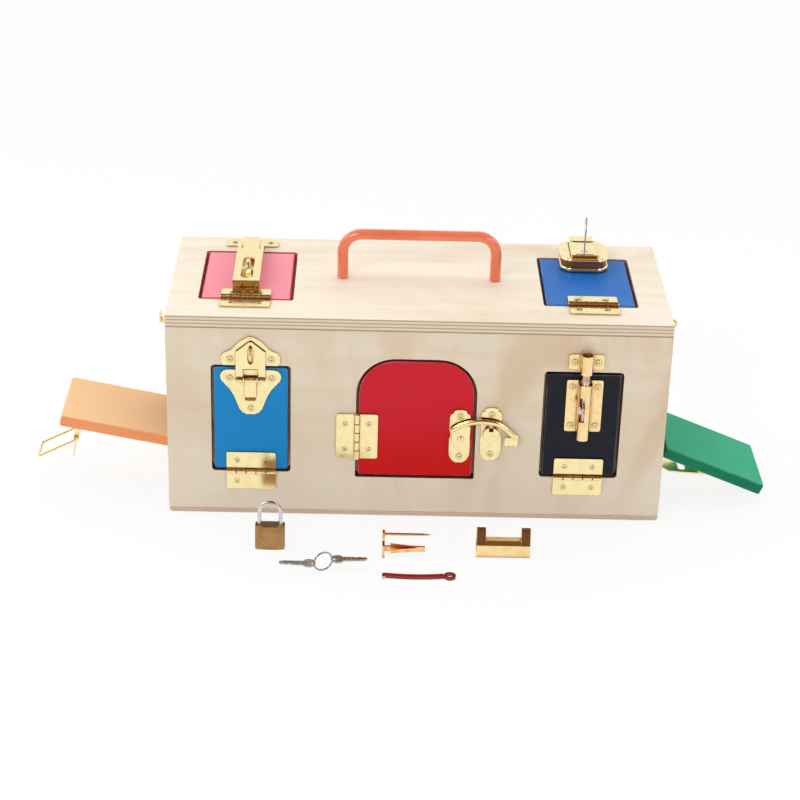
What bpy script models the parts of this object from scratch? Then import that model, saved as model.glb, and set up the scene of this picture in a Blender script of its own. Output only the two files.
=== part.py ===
"""Wooden latch box: a plywood activity box with seven hinged doors, each held by its own kind of latch.

Metres, +Z up. The origin is the centre of the underside, on the floor. X runs along the width,
the front faces -Y. Each wall carries a frame whose x runs along it, whose y runs up it (on the
top: to the rear) and whose z points out of it, so hardware is laid out as on a bench.
"""

import itertools
import math

import bmesh
import bpy
from mathutils import Matrix, Vector

# Start from an empty scene
for old in list(bpy.data.objects):
    bpy.data.objects.remove(old, do_unlink=True)

# Box carcass
BOX_WIDTH = 0.400
BOX_DEPTH = 0.162
BOX_HEIGHT = 0.176
PANEL_THICK = 0.010
BASE_THICK = 0.004
GLUE_GAP = 0.0003
CORNER_ROUND = 0.003
EDGE_ROUND = 0.0008

# Doors and their openings
DOOR_GAP = 0.0022
DOOR_THICK = 0.0096
DOOR_ROUND = 0.002
FRONT_SILL = 0.039
FRONT_LINTEL = 0.134
FRONT_OPENING_WIDTH = 0.0635
FRONT_LEFT_FROM_END = 0.0671
FRONT_RIGHT_FROM_END = 0.0682
FRONT_LEFT_X = FRONT_LEFT_FROM_END - BOX_WIDTH / 2
FRONT_RIGHT_X = BOX_WIDTH / 2 - FRONT_RIGHT_FROM_END
ARCH_LEFT = -0.049
ARCH_RIGHT = 0.0475
ARCH_SILL = 0.0355
ARCH_BELOW_TOP = 0.034
ARCH_CROWN = BOX_HEIGHT - ARCH_BELOW_TOP
ARCH_RADIUS = 0.031
LID_WIDTH = 0.0759
LID_FRONT = -0.048
LID_REAR = 0.0513
LID_LEFT_FROM_END = 0.0614
LID_RIGHT_FROM_END = 0.0628
LID_LEFT_X = LID_LEFT_FROM_END - BOX_WIDTH / 2
LID_RIGHT_X = BOX_WIDTH / 2 - LID_RIGHT_FROM_END
END_OPENING_WIDTH = 0.0775
END_OPENING_Y = -0.012

# Butt hinges, all seven alike
HINGE_LENGTH = 0.0397
HINGE_ACROSS = 0.0333
HINGE_LEAF = 0.0012
HINGE_AXIS_UP = 0.0023
LEAF_TAPER = 0.0001
HINGE_CORNER = 0.0015
KNUCKLE_RADIUS = 0.0021
KNUCKLE_COUNT = 5
KNUCKLE_GAP = 0.0003
PIN_RADIUS = 0.0010
PIN_CLEARANCE = 0.0003
PIN_HEAD_LENGTH = 0.0006
SCREW_HOLE_RADIUS = 0.0017
HINGE_SCREW_ALONG = 0.01135
HINGE_SCREW_ACROSS = 0.0095
SEAT = 0.0003

# How far the two end doors stand open at rest
LEFT_DOOR_OPEN = math.radians(79.2)
RIGHT_DOOR_OPEN = math.radians(112.0)

# The right lid's hinge sits a little off the lid's middle; the arched door's hinge height
LID_HINGE_SHIFT = 0.0018
ARCH_HINGE_HEIGHT = 0.0732

# Carrying handle
HANDLE_RADIUS = 0.0045
HANDLE_FROM_LIDS = 0.0377
HANDLE_CENTRES = LID_RIGHT_X - LID_LEFT_X - LID_WIDTH - HANDLE_FROM_LIDS * 2
HANDLE_RISE = 0.038
HANDLE_BEND = 0.015
HANDLE_Y = 0.0016

# Latch plates and pins, shared by the hardware
PLATE_THICK = 0.0012
SCREW_HOLE = 0.0019
PIVOT_CLEARANCE = 0.0003
SIDE_PLAY = 0.0003

# Hasp with a house-shaped flap, front left
HASP_PLATE_WIDTH = 0.0465
HASP_PLATE_HEIGHT = 0.0246
HASP_PLATE_FOOT = 0.1345
HASP_SCREW_APART = 0.0328
HASP_SCREW_UP = 0.0056
HASP_HEART_WIDTH = 0.0486
HASP_HEART_HEIGHT = 0.0392
HASP_HEART_FOOT = 0.0914
HASP_HEART_SCREW_APART = 0.0336
HASP_HEART_SCREW_UP = 0.0322
HASP_HEART_LOW_SCREW_UP = 0.0054
HASP_AXIS_HEIGHT = 0.1230
HASP_AXIS_UP = 0.0040
HASP_BARREL_RADIUS = 0.0019
HASP_PIN_RADIUS = 0.0009
HASP_FLAP_WIDTH = 0.0234
HASP_FLAP_TOP = 0.0324
HASP_FLAP_SHOULDER = 0.0237
HASP_SLOT_WIDTH = 0.0050
HASP_SLOT_LOW = 0.0129
HASP_SLOT_HIGH = 0.0304
HASP_WINDOW_WIDTH = 0.0125
HASP_WINDOW_HIGH = 0.0090
HASP_TONGUE_WIDTH = 0.0092
HASP_TONGUE_LENGTH = 0.0177
HASP_TONGUE_LIFT = 0.0018
HASP_CHEEK = 0.0009
HASP_STAPLE_WIRE = 0.0010
HASP_STAPLE_LOW = 0.1395
HASP_STAPLE_HIGH = 0.1505
HASP_STAPLE_OUT = 0.0078

# Lever latch of the arched door
LATCH_PLATE_WIDTH = 0.0168
LATCH_PLATE_HEIGHT = 0.0472
LATCH_PLATE_X = 0.0347
LATCH_PLATE_FOOT = 0.0515
KEEPER_PLATE_X = 0.0597
KEEPER_PLATE_FOOT = 0.0540
LATCH_SCREW_INSET = 0.0058
LATCH_PIVOT_HEIGHT = 0.0735
LATCH_PIVOT_X = 0.0354
LATCH_PIN_RADIUS = 0.0016
LATCH_CAP_RADIUS = 0.0030
LATCH_CAP_THICK = 0.0010
LATCH_HUB_RADIUS = 0.0072
LATCH_HUB_THICK = 0.0016
LATCH_ARM_LOW = 0.0026
LATCH_ARM_HIGH = 0.0050
LATCH_ARM_REACH = 0.0460
LATCH_ARM_RISE = 0.0160
LATCH_ARM_HALF = 0.0023
LATCH_TAB_WIDTH = 0.0105
LATCH_TAB_DROP = 0.0070
RECEIVER_RADIUS = 0.0062
RECEIVER_HEIGHT = 0.0786
RECEIVER_THICK = 0.0046
RECEIVER_NOTCH = 0.0036

# Barrel bolt of the black door
BOLT_OFF_CENTRE = 0.0009
BOLT_X = FRONT_RIGHT_X + BOLT_OFF_CENTRE
BOLT_RADIUS = 0.0034
BOLT_CLEARANCE = 0.0004
BOLT_AXIS_UP = SEAT + PLATE_THICK + BOLT_CLEARANCE + BOLT_RADIUS
BOLT_LOOP_CLEARANCE = 0.0009
BOLT_WALL = 0.0016
BOLT_PLATE_WIDTH = 0.0290
BOLT_PLATE_LOW = 0.0820
BOLT_PLATE_HIGH = 0.1276
BOLT_BARREL_LOW = 0.0775
BOLT_ROD_LOW = 0.0880
BOLT_THROW = 0.0070
BOLT_DRAW = 0.0100
BOLT_KNOB_HEIGHT = 0.1062
BOLT_KNOB_TILT = math.radians(24)
BOLT_KNOB_RADIUS = 0.0016
BOLT_KNOB_LENGTH = 0.0078
BOLT_KNOB_HEAD = 0.0031
BOLT_SLOT_PLAY = 0.0006
BOLT_SCREW_IN = 0.0045
BOLT_SCREW_END = 0.0056
BOLT_KEEPER_WIDTH = 0.0280
BOLT_KEEPER_LOW = 0.1370
BOLT_KEEPER_HIGH = 0.1500
BOLT_LOOP_WALL = 0.0009
BOLT_LOOP_LOW = 0.1353
BOLT_LOOP_HIGH = 0.1513


# Toggle latch of the pink lid; places along the lid are measured from the box's middle
TOGGLE_OFF_CENTRE = 0.0004
TOGGLE_X = LID_LEFT_X - TOGGLE_OFF_CENTRE
TOGGLE_LEVER_WIDTH = 0.0215
TOGGLE_LEVER_FRONT = -0.0360
TOGGLE_LEVER_REAR = 0.0445
TOGGLE_LEVER_TOP = 0.0115
TOGGLE_LEVER_DROP = 0.0095
TOGGLE_PIVOT_Y = 0.0420
TOGGLE_PIVOT_UP = 0.0064
TOGGLE_PIN_RADIUS = 0.0013
TOGGLE_EAR = 0.0012
TOGGLE_EAR_RADIUS = 0.0048
TOGGLE_FORK_LOW = 0.0300
TOGGLE_SLOT_WIDTH = 0.0097
TOGGLE_SLOT_LOW = -0.0310
TOGGLE_SLOT_HIGH = 0.0120
TOGGLE_BASE_WIDTH = 0.0150
TOGGLE_BASE_FRONT = -0.0240
TOGGLE_BASE_REAR = 0.0475
TOGGLE_STAPLE_Y = -0.0060
TOGGLE_STAPLE_SPAN = 0.0180
TOGGLE_STAPLE_UP = 0.0150
TOGGLE_STAPLE_WIRE = 0.0020
LINK_WIDTH = 0.0140
LINK_PIVOT_Y = 0.0350
LINK_PIVOT_UP = 0.0086
LINK_TOP = 0.0097
LINK_HOOK_Y = 0.0592
LINK_HOOK_LOW = 0.0024
STRIKE_WIDTH = 0.0430
STRIKE_FRONT = 0.0600
STRIKE_REAR = 0.0720
STRIKE_LIP_Y = 0.0570
STRIKE_LIP_UP = 0.0062
STRIKE_SCREW_APART = 0.0300
STRIKE_SCREW_Y = 0.0668

# Key lock of the blue lid
LOCK_X = LID_RIGHT_X
LOCK_WIDTH = 0.0400
LOCK_FRONT = 0.0200
LOCK_REAR = 0.0610
LOCK_CORNER = 0.0085
LOCK_FOOT = 0.0006
LOCK_LOWER_TOP = 0.0042
LOCK_UPPER_LOW = 0.0096
LOCK_UPPER_TOP = 0.0120
LOCK_CORE_INSET = 0.0035
LOCK_BLOCK_WIDTH = 0.0230
LOCK_BLOCK_FRONT = 0.0245
LOCK_BLOCK_REAR = 0.0575
LOCK_BLOCK_TOP = 0.0140
LOCK_SLIT = 0.0016
KEYHOLE_Y = 0.0345
KEYHOLE_RADIUS = 0.0030
KEYHOLE_DEPTH = 0.0080
LOCK_KEY_CLEARANCE = 0.0003
LOCK_KEY_THICK = 0.0011
LOCK_KEY_SHANK = 0.0044
LOCK_KEY_TOP = 0.0440
LOCK_KEY_BOW = 0.0118
LOCK_KEY_BOW_UP = 0.0150
LOCK_KEY_HOLE = 0.0022
LOCK_TAB_WIDTH = 0.0200
LOCK_TAB_FRONT = 0.0616
LOCK_TAB_REAR = 0.0745
LOCK_TAB_UP = 0.0115

# Draw latch of the left end door; distances along the door are measured from its hinge pin
DRAW_BASE_WIDTH = 0.0240
DRAW_BASE_LOW = 0.0620
DRAW_BASE_HIGH = 0.0890
DRAW_AXIS_ALONG = 0.0776
DRAW_AXIS_UP = 0.0150
DRAW_CHEEK_RADIUS = 0.0030
DRAW_PIN_RADIUS = 0.0014
DRAW_LEVER_WIDTH = 0.0170
DRAW_LEVER_LENGTH = 0.0270
DRAW_LEVER_THICK = 0.0015
DRAW_BARREL_RADIUS = 0.0029
BAIL_AXIS_OUT = 0.0076
BAIL_WIDTH = 0.0248
BAIL_WIRE = 0.0013
BAIL_LENGTH = 0.0360
BAIL_ANGLE = math.radians(38)
BAIL_END = 0.0030
DRAW_KEEPER_WIDTH = 0.0160
DRAW_KEEPER_LOW = 0.1360
DRAW_KEEPER_HIGH = 0.1580
DRAW_HOOK_OUT = 0.0110
DRAW_HOOK_WIDTH = 0.0100
DRAW_HOOK_AT = 0.1400
DRAW_HOOK_RISE = 0.0070

# Hasp and staple of the right end door
STRAP_AXIS_ALONG = 0.0680
STRAP_WIDTH = 0.0260
STRAP_LENGTH = 0.0560
STRAP_HOLE_AT = 0.0390
STRAP_SLOT_WIDTH = 0.0060
STRAP_SLOT_LENGTH = 0.0180
STRAP_LEAF_LENGTH = 0.0210
STRAP_FOLD = math.radians(161)
EYE_PLATE_WIDTH = 0.0200
EYE_PLATE_HEIGHT = 0.0130
EYE_WIRE = 0.00125
EYE_OUT = 0.0138
EYE_WIDTH = 0.0110

# Loose locks and keys on the floor in front
PADLOCK_X = -0.1151
PADLOCK_Y = -0.1350
PADLOCK_WIDTH = 0.0235
PADLOCK_DEPTH = 0.0110
PADLOCK_HEIGHT = 0.0208
PADLOCK_BULGE = 0.0012
SHACKLE_WIDTH = 0.0200
SHACKLE_WIRE = 0.00165
SHACKLE_TOP = 0.0420
SHACKLE_DEPTH = 0.0100
SHACKLE_CLEARANCE = 0.0003
RING_PLACE = (-0.0720, -0.1700, 0.0085)
RING_RADIUS = 0.0077
RING_WIRE = 0.0008
RING_YAW = math.radians(25)
KEY_THICK = 0.0015
KEY_BOW_LENGTH = 0.0130
KEY_BOW_WIDTH = 0.0105
KEY_LENGTH = 0.0300
KEY_SHANK = 0.0042
KEY_HOLE = 0.0021
KEY_HOLE_IN = 0.0034
KEY_A_TURN = math.radians(180)
KEY_B_TURN = math.radians(4)

# Old-style bar lock: body, its spring bolt and its sliding key
BAR_LOCK_X = 0.0700
BAR_LOCK_FRONT = -0.1452
BAR_LOCK_DEPTH = 0.0115
BAR_LOCK_WIDTH = 0.0426
BAR_LOCK_BODY = 0.0130
BAR_LOCK_EAR_TOP = 0.0260
BAR_LOCK_EAR = 0.0072
BAR_LOCK_SLOPE = 0.0040
BAR_LOCK_PIN_UP = 0.0190
SPRING_BOLT_LEFT = -0.0260
SPRING_BOLT_Y = -0.1430
SPRING_PLATE_THICK = 0.0020
SPRING_PLATE_DEPTH = 0.0120
SPRING_PLATE_LOW = 0.0110
SPRING_PLATE_TOP = 0.0208
SPRING_PLATE_NECK = 0.0052
SPRING_PIN_RADIUS = 0.0011
SPRING_PIN_UP = 0.0185
SPRING_PIN_LENGTH = 0.0380
SPRING_STEM_LENGTH = 0.0340
SPRING_STEM_HEIGHT = 0.0044
SPRING_STEM_THICK = 0.0020
SPRING_LEAF_THICK = 0.0006
SPRING_LEAF_SPLAY = 0.0048
RED_KEY_LEFT = -0.0246
RED_KEY_RIGHT = 0.0318
RED_KEY_Y = -0.1770
RED_KEY_WIDTH = 0.0040
RED_KEY_THICK = 0.0025
RED_KEY_BOW = 0.0036
RED_KEY_EYE = 0.0048
RED_KEY_EYE_HOLE = 0.0025
RED_KEY_TIP = 0.0040

# Cutters reach this far past what they cut; points this near become one
OVERRUN = 0.002
WELD = 0.00001


# Collections
parts = bpy.data.collections.new("wooden_latch_box")
cutters = bpy.data.collections.new("latch_box_cutters")
bpy.context.scene.collection.children.link(parts)
bpy.context.scene.collection.children.link(cutters)
cutters.hide_render = True


def make_material(name, colour, metallic, roughness):
    made = bpy.data.materials.new(name)
    made.use_nodes = True
    shader = made.node_tree.nodes["Principled BSDF"]
    shader.inputs["Base Color"].default_value = (*colour, 1.0)
    shader.inputs["Metallic"].default_value = metallic
    shader.inputs["Roughness"].default_value = roughness
    made.diffuse_color = (*colour, 1.0)
    return made


plywood = make_material("birch_plywood", (0.79, 0.66, 0.49), 0.0, 0.5)
plywood_top = make_material("birch_plywood_top", (0.95, 0.86, 0.72), 0.0, 0.5)
orange_enamel = make_material("orange_enamel", (0.80, 0.17, 0.07), 0.0, 0.35)
pink_paint = make_material("pink_paint", (1.0, 0.30, 0.36), 0.0, 0.45)
blue_gloss = make_material("blue_gloss", (0.01, 0.10, 0.45), 0.0, 0.25)
blue_paint = make_material("blue_paint", (0.01, 0.21, 0.55), 0.0, 0.45)
red_paint = make_material("red_paint", (0.55, 0.01, 0.02), 0.0, 0.45)
black_paint = make_material("black_paint", (0.012, 0.017, 0.028), 0.0, 0.45)
apricot_paint = make_material("apricot_paint", (1.0, 0.38, 0.15), 0.0, 0.45)
green_paint = make_material("green_paint", (0.02, 0.40, 0.20), 0.0, 0.45)
brass = make_material("polished_brass", (0.84, 0.66, 0.30), 1.0, 0.18)
aged_brass = make_material("satin_brass", (0.40, 0.20, 0.07), 1.0, 0.4)
steel = make_material("bright_steel", (0.62, 0.62, 0.64), 1.0, 0.22)
red_lacquer = make_material("red_lacquer", (0.26, 0.01, 0.005), 0.0, 0.25)


def linked(obj, parent, location, rotation):
    parts.objects.link(obj)
    obj.parent = parent
    obj.location = location
    obj.rotation_euler = rotation
    return obj


def empty(name, parent=None, location=(0, 0, 0), rotation=(0, 0, 0)):
    made = linked(bpy.data.objects.new(name, None), parent, location, rotation)
    made.empty_display_size = PANEL_THICK
    return made


def node(name, mesh, finish, parent=None, location=(0, 0, 0), rotation=(0, 0, 0)):
    """A named piece; pieces made from one mesh share it."""
    if not mesh.materials:
        mesh.materials.append(finish)
    return linked(bpy.data.objects.new(name, mesh), parent, location, rotation)


def cutter(name, mesh):
    """A hidden mesh in the frame of the piece that it is taken from or joined to."""
    made = bpy.data.objects.new(name, mesh)
    cutters.objects.link(made)
    made.display_type = "WIRE"
    made.hide_render = True
    return made


def boolean(obj, operation, *meshes):
    """Each mesh is given in the object's own frame and follows the object."""
    for mesh in meshes:
        tool = cutter(f"{obj.name}_{operation.lower()}", mesh)
        tool.parent = obj
        modifier = obj.modifiers.new(operation.title(), "BOOLEAN")
        modifier.operation = operation
        modifier.solver = "EXACT"
        modifier.object = tool
    return obj


def cut(obj, *meshes):
    return boolean(obj, "DIFFERENCE", *meshes)


def join(obj, *meshes):
    return boolean(obj, "UNION", *meshes)


def smooth(mesh, angle=math.radians(35)):
    mesh.shade_smooth()
    mesh.set_sharp_from_angle(angle=angle)
    return mesh


def box(low, high):
    """A box between two corners."""
    mesh = bpy.data.meshes.new("box")
    shape = bmesh.new()
    bmesh.ops.create_cube(shape, size=1.0)
    size = Vector(high) - Vector(low)
    centre = (Vector(high) + Vector(low)) / 2
    bmesh.ops.transform(
        shape, matrix=Matrix.Translation(centre) @ Matrix.Diagonal((*size, 1)), verts=shape.verts
    )
    shape.to_mesh(mesh)
    shape.free()
    return mesh


def rod(start, end, radius, end_radius=None, segments=20):
    """A cylinder or a cone from one point to another."""
    mesh = bpy.data.meshes.new("rod")
    shape = bmesh.new()
    way = Vector(end) - Vector(start)
    bmesh.ops.create_cone(
        shape,
        cap_ends=True,
        segments=segments,
        radius1=radius,
        radius2=radius if end_radius is None else end_radius,
        depth=way.length,
    )
    turn = Vector((0, 0, 1)).rotation_difference(way).to_matrix().to_4x4()
    middle = Matrix.Translation((Vector(start) + Vector(end)) / 2)
    bmesh.ops.transform(shape, matrix=middle @ turn, verts=shape.verts)
    shape.to_mesh(mesh)
    shape.free()
    return smooth(mesh)


def mesh_of(curve_data, matrix=None):
    """The closed mesh of a curve, with its caps welded on."""
    source = bpy.data.objects.new("curve", curve_data)
    bpy.context.scene.collection.objects.link(source)
    graph = bpy.context.evaluated_depsgraph_get()
    mesh = bpy.data.meshes.new_from_object(source.evaluated_get(graph))
    bpy.data.objects.remove(source, do_unlink=True)
    shape = bmesh.new()
    shape.from_mesh(mesh)
    bmesh.ops.remove_doubles(shape, verts=shape.verts, dist=WELD)
    if matrix is not None:
        bmesh.ops.transform(shape, matrix=matrix, verts=shape.verts)
    bmesh.ops.recalc_face_normals(shape, faces=shape.faces)
    shape.to_mesh(mesh)
    shape.free()
    return mesh


def add_outline(curve, points):
    spline = curve.splines.new("POLY")
    spline.points.add(len(points) - 1)
    for target, (x, y) in zip(spline.points, points):
        target.co = (x, y, 0, 1)
    spline.use_cyclic_u = True


def plate(outline, low, high, holes=(), matrix=None):
    """A flat outline given thickness from z = low to z = high, with holes through it."""
    curve = bpy.data.curves.new("plate", "CURVE")
    curve.dimensions = "2D"
    curve.fill_mode = "BOTH"
    curve.extrude = (high - low) / 2
    add_outline(curve, outline)
    for hole in holes:
        add_outline(curve, hole)
    up = Matrix.Translation((0, 0, (low + high) / 2))
    mesh = mesh_of(curve, up if matrix is None else matrix @ up)
    bpy.data.curves.remove(curve)
    shape = bmesh.new()
    shape.from_mesh(mesh)
    flat = math.radians(0.5)
    bmesh.ops.dissolve_limit(shape, angle_limit=flat, verts=shape.verts, edges=shape.edges)
    shape.to_mesh(mesh)
    shape.free()
    return smooth(mesh)


def wire(points, radius, cyclic=False, resolution=2, matrix=None):
    """A round bar along points, with filled ends."""
    curve = bpy.data.curves.new("wire", "CURVE")
    curve.dimensions = "3D"
    curve.bevel_depth = radius
    curve.bevel_resolution = resolution
    curve.use_fill_caps = not cyclic
    spline = curve.splines.new("POLY")
    spline.points.add(len(points) - 1)
    for target, point in zip(spline.points, points):
        target.co = (*point, 1)
    spline.use_cyclic_u = cyclic
    mesh = mesh_of(curve, matrix)
    bpy.data.curves.remove(curve)
    return smooth(mesh)


def arc(cx, cy, radius, start, end, steps):
    """Points along an arc, angles in degrees."""
    found = []
    for i in range(steps + 1):
        angle = math.radians(start + (end - start) * i / steps)
        found.append((cx + radius * math.cos(angle), cy + radius * math.sin(angle)))
    return found


hole_count = itertools.count(1)


def circle(cx, cy, radius, steps=16):
    """Each circle starts at an angle of its own, so that no three corners of a plate line up."""
    start = next(hole_count) * 3.7
    return arc(cx, cy, radius, start, start + 360 * (steps - 1) / steps, steps - 1)


def rounded(x0, y0, x1, y1, radii, steps=4):
    """A rectangle whose corners (low left, low right, high right, high left) are rounded."""
    if not isinstance(radii, tuple):
        radii = (radii,) * 4
    found = []
    ends = ((x0, y0, 1, 1, 180), (x1, y0, -1, 1, 270), (x1, y1, -1, -1, 0), (x0, y1, 1, -1, 90))
    for (x, y, sx, sy, turn), r in zip(ends, radii):
        if r > 0:
            found += arc(x + sx * r, y + sy * r, r, turn, turn + 90, steps)
        else:
            found.append((x, y))
    return found


def shared(half, width, height, foot=0.0):
    """An outline from (x share, y share) points of its right half, mirrored to the left."""
    right = [(x * width / 2, foot + y * height) for x, y in half]
    left = [(-x, y) for x, y in reversed(right) if x > 0]
    return right + left


# Frames of the walls: x along the wall, y up it, z out of it
front = empty("front_frame", None, (0, -BOX_DEPTH / 2, 0), (math.radians(90), 0, 0))
top = empty("top_frame", None, (0, 0, BOX_HEIGHT), (0, 0, 0))
left = empty("left_frame", None, (-BOX_WIDTH / 2, 0, 0), (math.radians(90), 0, math.radians(-90)))
right = empty("right_frame", None, (BOX_WIDTH / 2, 0, 0), (math.radians(90), 0, math.radians(90)))
back = empty("back_frame", None, (0, BOX_DEPTH / 2, 0), (math.radians(90), 0, math.radians(180)))

half_width = BOX_WIDTH / 2
half_depth = BOX_DEPTH / 2
wall_low = BASE_THICK + GLUE_GAP
wall_high = BOX_HEIGHT - PANEL_THICK - GLUE_GAP
side_reach = half_depth - PANEL_THICK - GLUE_GAP

# Front panel with its three openings
front_half = FRONT_OPENING_WIDTH / 2
left_opening = rounded(
    FRONT_LEFT_X - front_half, FRONT_SILL, FRONT_LEFT_X + front_half, FRONT_LINTEL, CORNER_ROUND
)
right_opening = rounded(
    FRONT_RIGHT_X - front_half, FRONT_SILL, FRONT_RIGHT_X + front_half, FRONT_LINTEL, CORNER_ROUND
)
arch_radii = (CORNER_ROUND / 2, CORNER_ROUND / 2, ARCH_RADIUS, ARCH_RADIUS)
arch_opening = rounded(ARCH_LEFT, ARCH_SILL, ARCH_RIGHT, ARCH_CROWN, arch_radii, 10)
front_panel = node(
    "front_panel",
    plate(
        rounded(-half_width, wall_low, half_width, wall_high, 0),
        -PANEL_THICK,
        0,
        (left_opening, arch_opening, right_opening),
    ),
    plywood,
    front,
)

# Back panel, plain
back_panel = node(
    "back_panel",
    plate(rounded(-half_width, wall_low, half_width, wall_high, 0), -PANEL_THICK, 0),
    plywood,
    back,
)

# Bottom panel, its lower long edges rounded
bottom_panel = node(
    "bottom_panel",
    plate(
        rounded(-half_width, 0, half_width, BASE_THICK, (CORNER_ROUND, CORNER_ROUND, 0, 0)),
        -BOX_DEPTH,
        0,
    ),
    plywood,
    front,
)

# Top panel with its two lid openings
lid_half = LID_WIDTH / 2
lid_openings = [
    rounded(x - lid_half, LID_FRONT, x + lid_half, LID_REAR, CORNER_ROUND)
    for x in (LID_LEFT_X, LID_RIGHT_X)
]
top_panel = node(
    "top_panel",
    plate(
        rounded(-half_width, -half_depth, half_width, half_depth, EDGE_ROUND, 2),
        -PANEL_THICK,
        0,
        lid_openings,
    ),
    plywood_top,
    top,
)


# End panels, each with one opening; END_OPENING_Y is the opening's place along the box's depth
def end_panel(name, frame, side):
    x = side * END_OPENING_Y
    half = END_OPENING_WIDTH / 2
    return node(
        name,
        plate(
            rounded(-side_reach, wall_low, side_reach, wall_high, 0),
            -PANEL_THICK,
            0,
            (rounded(x - half, FRONT_SILL, x + half, FRONT_LINTEL, CORNER_ROUND),),
        ),
        plywood,
        frame,
    )


end_panel("left_panel", left, -1)
end_panel("right_panel", right, 1)


# Hinge meshes; each leaf's frame has the pin along x, the wall's face at -HINGE_AXIS_UP
leaf_low = SEAT - HINGE_AXIS_UP
leaf_high = leaf_low + HINGE_LEAF
knuckle_length = HINGE_LENGTH / KNUCKLE_COUNT


def knuckle_span(index):
    start = index * knuckle_length - HINGE_LENGTH / 2
    low = start + (KNUCKLE_GAP / 2 if index > 0 else 0)
    high = start + knuckle_length - (KNUCKLE_GAP / 2 if index < KNUCKLE_COUNT - 1 else 0)
    return low, high


def hinge_leaf(name, side, own):
    """side is -1 for the leaf below the pin and 1 for the leaf above it; own lists its knuckles."""
    reach = HINGE_ACROSS / 2
    clear = KNUCKLE_RADIUS + KNUCKLE_GAP
    corner = HINGE_CORNER
    low_edge, high_edge = sorted((side * clear, side * reach))
    corners = (0, 0, corner, corner) if side > 0 else (corner, corner, 0, 0)
    outline = rounded(-HINGE_LENGTH / 2, low_edge, HINGE_LENGTH / 2, high_edge, corners, 2)
    across = side * HINGE_SCREW_ACROSS
    holes = [circle(s * HINGE_SCREW_ALONG, across, SCREW_HOLE_RADIUS, 8) for s in (-1, 1)]
    blank = node(name, plate(outline, leaf_low, leaf_high, holes), brass)
    neck = sorted((side * PIN_RADIUS, side * (clear + HINGE_CORNER)))
    for index in own:
        low, high = knuckle_span(index)
        join(blank, rod((low, 0, 0), (high, 0, 0), KNUCKLE_RADIUS, segments=10))
        tab_low = (low + KNUCKLE_GAP, neck[0], leaf_low + LEAF_TAPER)
        tab_high = (high - KNUCKLE_GAP, neck[1], leaf_high - LEAF_TAPER)
        join(blank, box(tab_low, tab_high))
    reach = HINGE_LENGTH / 2 + PIN_HEAD_LENGTH
    if side < 0:
        join(blank, rod((-reach, 0, 0), (reach, 0, 0), PIN_RADIUS, segments=8))
    else:
        cut(blank, rod((-reach, 0, 0), (reach, 0, 0), PIN_RADIUS + PIN_CLEARANCE, segments=8))
    return blank


def baked(obj):
    """The object's mesh with its Booleans applied, to be shared by several pieces."""
    graph = bpy.context.evaluated_depsgraph_get()
    mesh = bpy.data.meshes.new_from_object(obj.evaluated_get(graph))
    for modifier in list(obj.modifiers):
        bpy.data.objects.remove(modifier.object, do_unlink=True)
    bpy.data.objects.remove(obj, do_unlink=True)
    return smooth(mesh)


even_knuckles = [i for i in range(KNUCKLE_COUNT) if i % 2 == 0]
odd_knuckles = [i for i in range(KNUCKLE_COUNT) if i % 2 == 1]
fixed_leaf = baked(hinge_leaf("fixed_blank", -1, even_knuckles))
moving_leaf = baked(hinge_leaf("moving_blank", 1, odd_knuckles))


def hinged(name, frame, pivot, door_mesh, finish, angle, hinge_at=0.0, upright=False):
    """A door on its hinge. Returns a frame that turns with the door and has the wall's coordinates."""
    axis = empty(f"{name}_axis", frame, pivot)
    turn = (0, -angle, 0) if upright else (angle, 0, 0)
    swing = empty(f"{name}_swing", axis, (0, 0, 0), turn)
    node(f"{name}_door", door_mesh, finish, swing)
    spin = (0, 0, math.radians(-90)) if upright else (0, 0, 0)
    place = (0, hinge_at, 0) if upright else (hinge_at, 0, 0)
    node(f"{name}_hinge_fixed_leaf", fixed_leaf, brass, axis, place, spin)
    node(f"{name}_hinge_moving_leaf", moving_leaf, brass, swing, place, spin)
    return empty(f"{name}_face", swing, [-c for c in pivot])


def door_panel(width, height):
    """A door that hangs from a pin along its lower edge, in the frame of that pin."""
    half = width / 2 - DOOR_GAP
    low = DOOR_GAP / 2
    outline = rounded(-half, low, half, height - DOOR_GAP - low, DOOR_ROUND, 3)
    return plate(outline, -HINGE_AXIS_UP - DOOR_THICK, -HINGE_AXIS_UP)


front_height = FRONT_LINTEL - FRONT_SILL
sill_axis = FRONT_SILL + DOOR_GAP / 2
lid_axis = LID_FRONT + DOOR_GAP / 2
front_door = door_panel(FRONT_OPENING_WIDTH, front_height)
front_door_right = front_door.copy()
lid_panel = door_panel(LID_WIDTH, LID_REAR - LID_FRONT)
lid_panel_right = lid_panel.copy()
end_door = door_panel(END_OPENING_WIDTH, front_height)
end_door_right = end_door.copy()

front_left_face = hinged(
    "front_left", front, (FRONT_LEFT_X, sill_axis, HINGE_AXIS_UP), front_door, blue_paint, 0
)
front_right_face = hinged(
    "front_right", front, (FRONT_RIGHT_X, sill_axis, HINGE_AXIS_UP), front_door_right, black_paint, 0
)
top_left_face = hinged(
    "top_left", top, (LID_LEFT_X, lid_axis, HINGE_AXIS_UP), lid_panel, pink_paint, 0
)
top_right_face = hinged(
    "top_right",
    top,
    (LID_RIGHT_X, lid_axis, HINGE_AXIS_UP),
    lid_panel_right,
    blue_gloss,
    0,
    LID_HINGE_SHIFT,
)
left_face = hinged(
    "left_end",
    left,
    (-END_OPENING_Y, sill_axis, HINGE_AXIS_UP),
    end_door,
    apricot_paint,
    LEFT_DOOR_OPEN,
)
right_face = hinged(
    "right_end",
    right,
    (END_OPENING_Y, sill_axis, HINGE_AXIS_UP),
    end_door_right,
    green_paint,
    RIGHT_DOOR_OPEN,
)

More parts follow.
